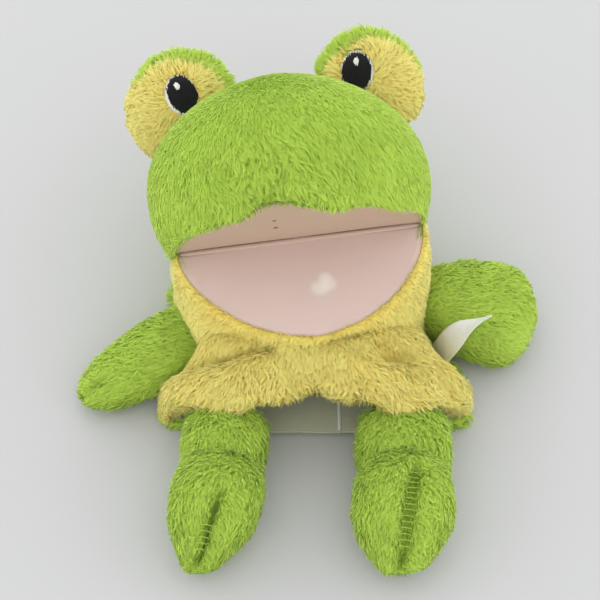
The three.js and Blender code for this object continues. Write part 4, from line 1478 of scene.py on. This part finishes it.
# A bare satin ribbon that leaves the side seam, curls over the arm and turns edge on at its tip.
def make_label():
    shares = np.linspace(0, 1, 40)
    a, b, c, d = (np.array(point) * MM for point in LABEL_PATH)
    t = shares[:, None]
    path = a * (1 - t) ** 3 + 3 * b * t * (1 - t) ** 2 + 3 * c * t**2 * (1 - t) + d * t**3
    turned = smooth(0.25, 1.0, shares)[:, None]
    wide = unit(LABEL_BASE * (1 - turned) + TOWARDS_VIEW * turned)
    tangent = unit(np.gradient(path, axis=0))
    wide = unit(wide - (wide * tangent).sum(1, keepdims=True) * tangent)
    thick = np.cross(tangent, wide) * LABEL_THICK / 2
    rows = []
    for side in (1, -1):
        for share in np.linspace(-side, side, 13):
            rows.append(path + wide * share * LABEL_HALF + thick * side)
    grid = np.array(rows).transpose(1, 0, 2)
    surface = grid_surface(capped(grid), closed=True)
    made = mesh_object("care_label_ribbon", surface, satin)
    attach(made, "label")
    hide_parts("care_label")


def dress_inner():
    slots = {row["node"]: row["material_slot"] for row in frame["record"]["subparts"]}
    for node, obj in frame["nodes"].items():
        if slots.get(node) == "board":
            for place in obj.material_slots:
                place.material = board_card


# The sewn seam down the back lining, seen under the hem.
def make_seam():
    arc = np.linspace(0, np.pi, 9)
    rows = []
    for y in np.linspace(*SEAM_RUN, 24):
        x = SEAM_ASIDE + SEAM_HALF * np.cos(arc)
        rows.append(np.stack([x, np.full_like(x, y), SEAM_HEIGHT + SEAM_RISE * np.sin(arc)], 1))
    made = mesh_object("lining_seam", grid_surface(np.array(rows)), white_thread)
    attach(made, "torso")


SEAM_RUN = (-73 * MM, -30 * MM)
SEAM_ASIDE = 14.7 * MM
SEAM_HALF = 1.1 * MM
SEAM_HEIGHT = 7.6 * MM
SEAM_RISE = 0.9 * MM

for inner in INNER_CLOTHS:
    cloth_copy(*inner)
make_seam()
make_fold()
make_label()
dress_inner()


# Stage, lights and camera


FLOOR_HALF = 4.0
FLOOR_DROP = 0.2 * MM


def make_stage():
    made, nodes, links, shader = new_material("floor")
    texture = noise_node(nodes, links, 6)
    colour = ramp(nodes, [(0.3, (0.53, 0.531, 0.538)), (0.7, (0.535, 0.537, 0.543))])
    links.new(texture.outputs["Fac"], colour.inputs["Fac"])
    links.new(colour.outputs["Color"], shader.inputs["Base Color"])
    shader.inputs["Roughness"].default_value = 0.9
    size = FLOOR_HALF
    corners = np.array([[-size, -size, 0], [size, -size, 0], [size, size, 0], [-size, size, 0]])
    corners[:, 2] = -FLOOR_DROP
    floor = mesh_object("floor", Surface(corners, np.array([[0, 1, 2], [0, 2, 3]])), made, False)


LIGHT_LOW = 0.87
LIGHT_SPREAD = 1.5
LIGHT_BEHIND = 0.32
BACKDROP = (0.68, 0.68, 0.69)


# A round light tent: bright walls, a dimmer top, and more light from behind. The camera sees a backdrop.
def make_light():
    world = bpy.data.worlds.new("studio")
    bpy.context.scene.world = world
    world.use_nodes = True
    nodes, links = world.node_tree.nodes, world.node_tree.links
    tent = nodes["Background"]
    tent.inputs["Color"].default_value = (1, 1, 1, 1)
    coordinates = nodes.new("ShaderNodeTexCoord")
    parts = nodes.new("ShaderNodeSeparateXYZ")
    links.new(coordinates.outputs["Generated"], parts.inputs[0])

    def maths(operation, first, second):
        made = nodes.new("ShaderNodeMath")
        made.operation = operation
        for socket, value in zip(made.inputs, (first, second)):
            if isinstance(value, bpy.types.NodeSocket):
                links.new(value, socket)
            else:
                socket.default_value = value
        return made.outputs[0]

    level = maths("SUBTRACT", 1.0, maths("ABSOLUTE", parts.outputs["Z"], 0.0))
    wall = maths("MULTIPLY", level, LIGHT_SPREAD)
    side = maths("ADD", 1.0, maths("MULTIPLY", parts.outputs["Y"], LIGHT_BEHIND))
    links.new(maths("ADD", maths("MULTIPLY", wall, side), LIGHT_LOW), tent.inputs["Strength"])
    seen = nodes.new("ShaderNodeBackground")
    seen.inputs["Color"].default_value = (*BACKDROP, 1)
    path = nodes.new("ShaderNodeLightPath")
    shown = maths("MAXIMUM", path.outputs["Is Camera Ray"], path.outputs["Is Glossy Ray"])
    shown = maths("MAXIMUM", shown, path.outputs["Is Transmission Ray"])
    choice = nodes.new("ShaderNodeMixShader")
    links.new(shown, choice.inputs[0])
    links.new(tent.outputs[0], choice.inputs[1])
    links.new(seen.outputs[0], choice.inputs[2])
    links.new(choice.outputs[0], nodes["World Output"].inputs["Surface"])


CAMERA_PLACE = (-9 * MM, -573.6 * MM, 859.2 * MM)
CAMERA_TARGET = (-9 * MM, 0, 40 * MM)
CAMERA_LENS = 98.85
SENSOR_WIDTH = 36


def make_camera():
    data = bpy.data.cameras.new("camera")
    data.lens = CAMERA_LENS
    data.sensor_width = SENSOR_WIDTH
    made = bpy.data.objects.new("camera", data)
    bpy.context.scene.collection.objects.link(made)
    made.location = CAMERA_PLACE
    direction = Vector(CAMERA_PLACE) - Vector(CAMERA_TARGET)
    made.rotation_euler = direction.to_track_quat("Z", "Y").to_euler()
    bpy.context.scene.camera = made


make_stage()
make_light()
make_camera()
bpy.context.scene.view_settings.view_transform = "Standard"
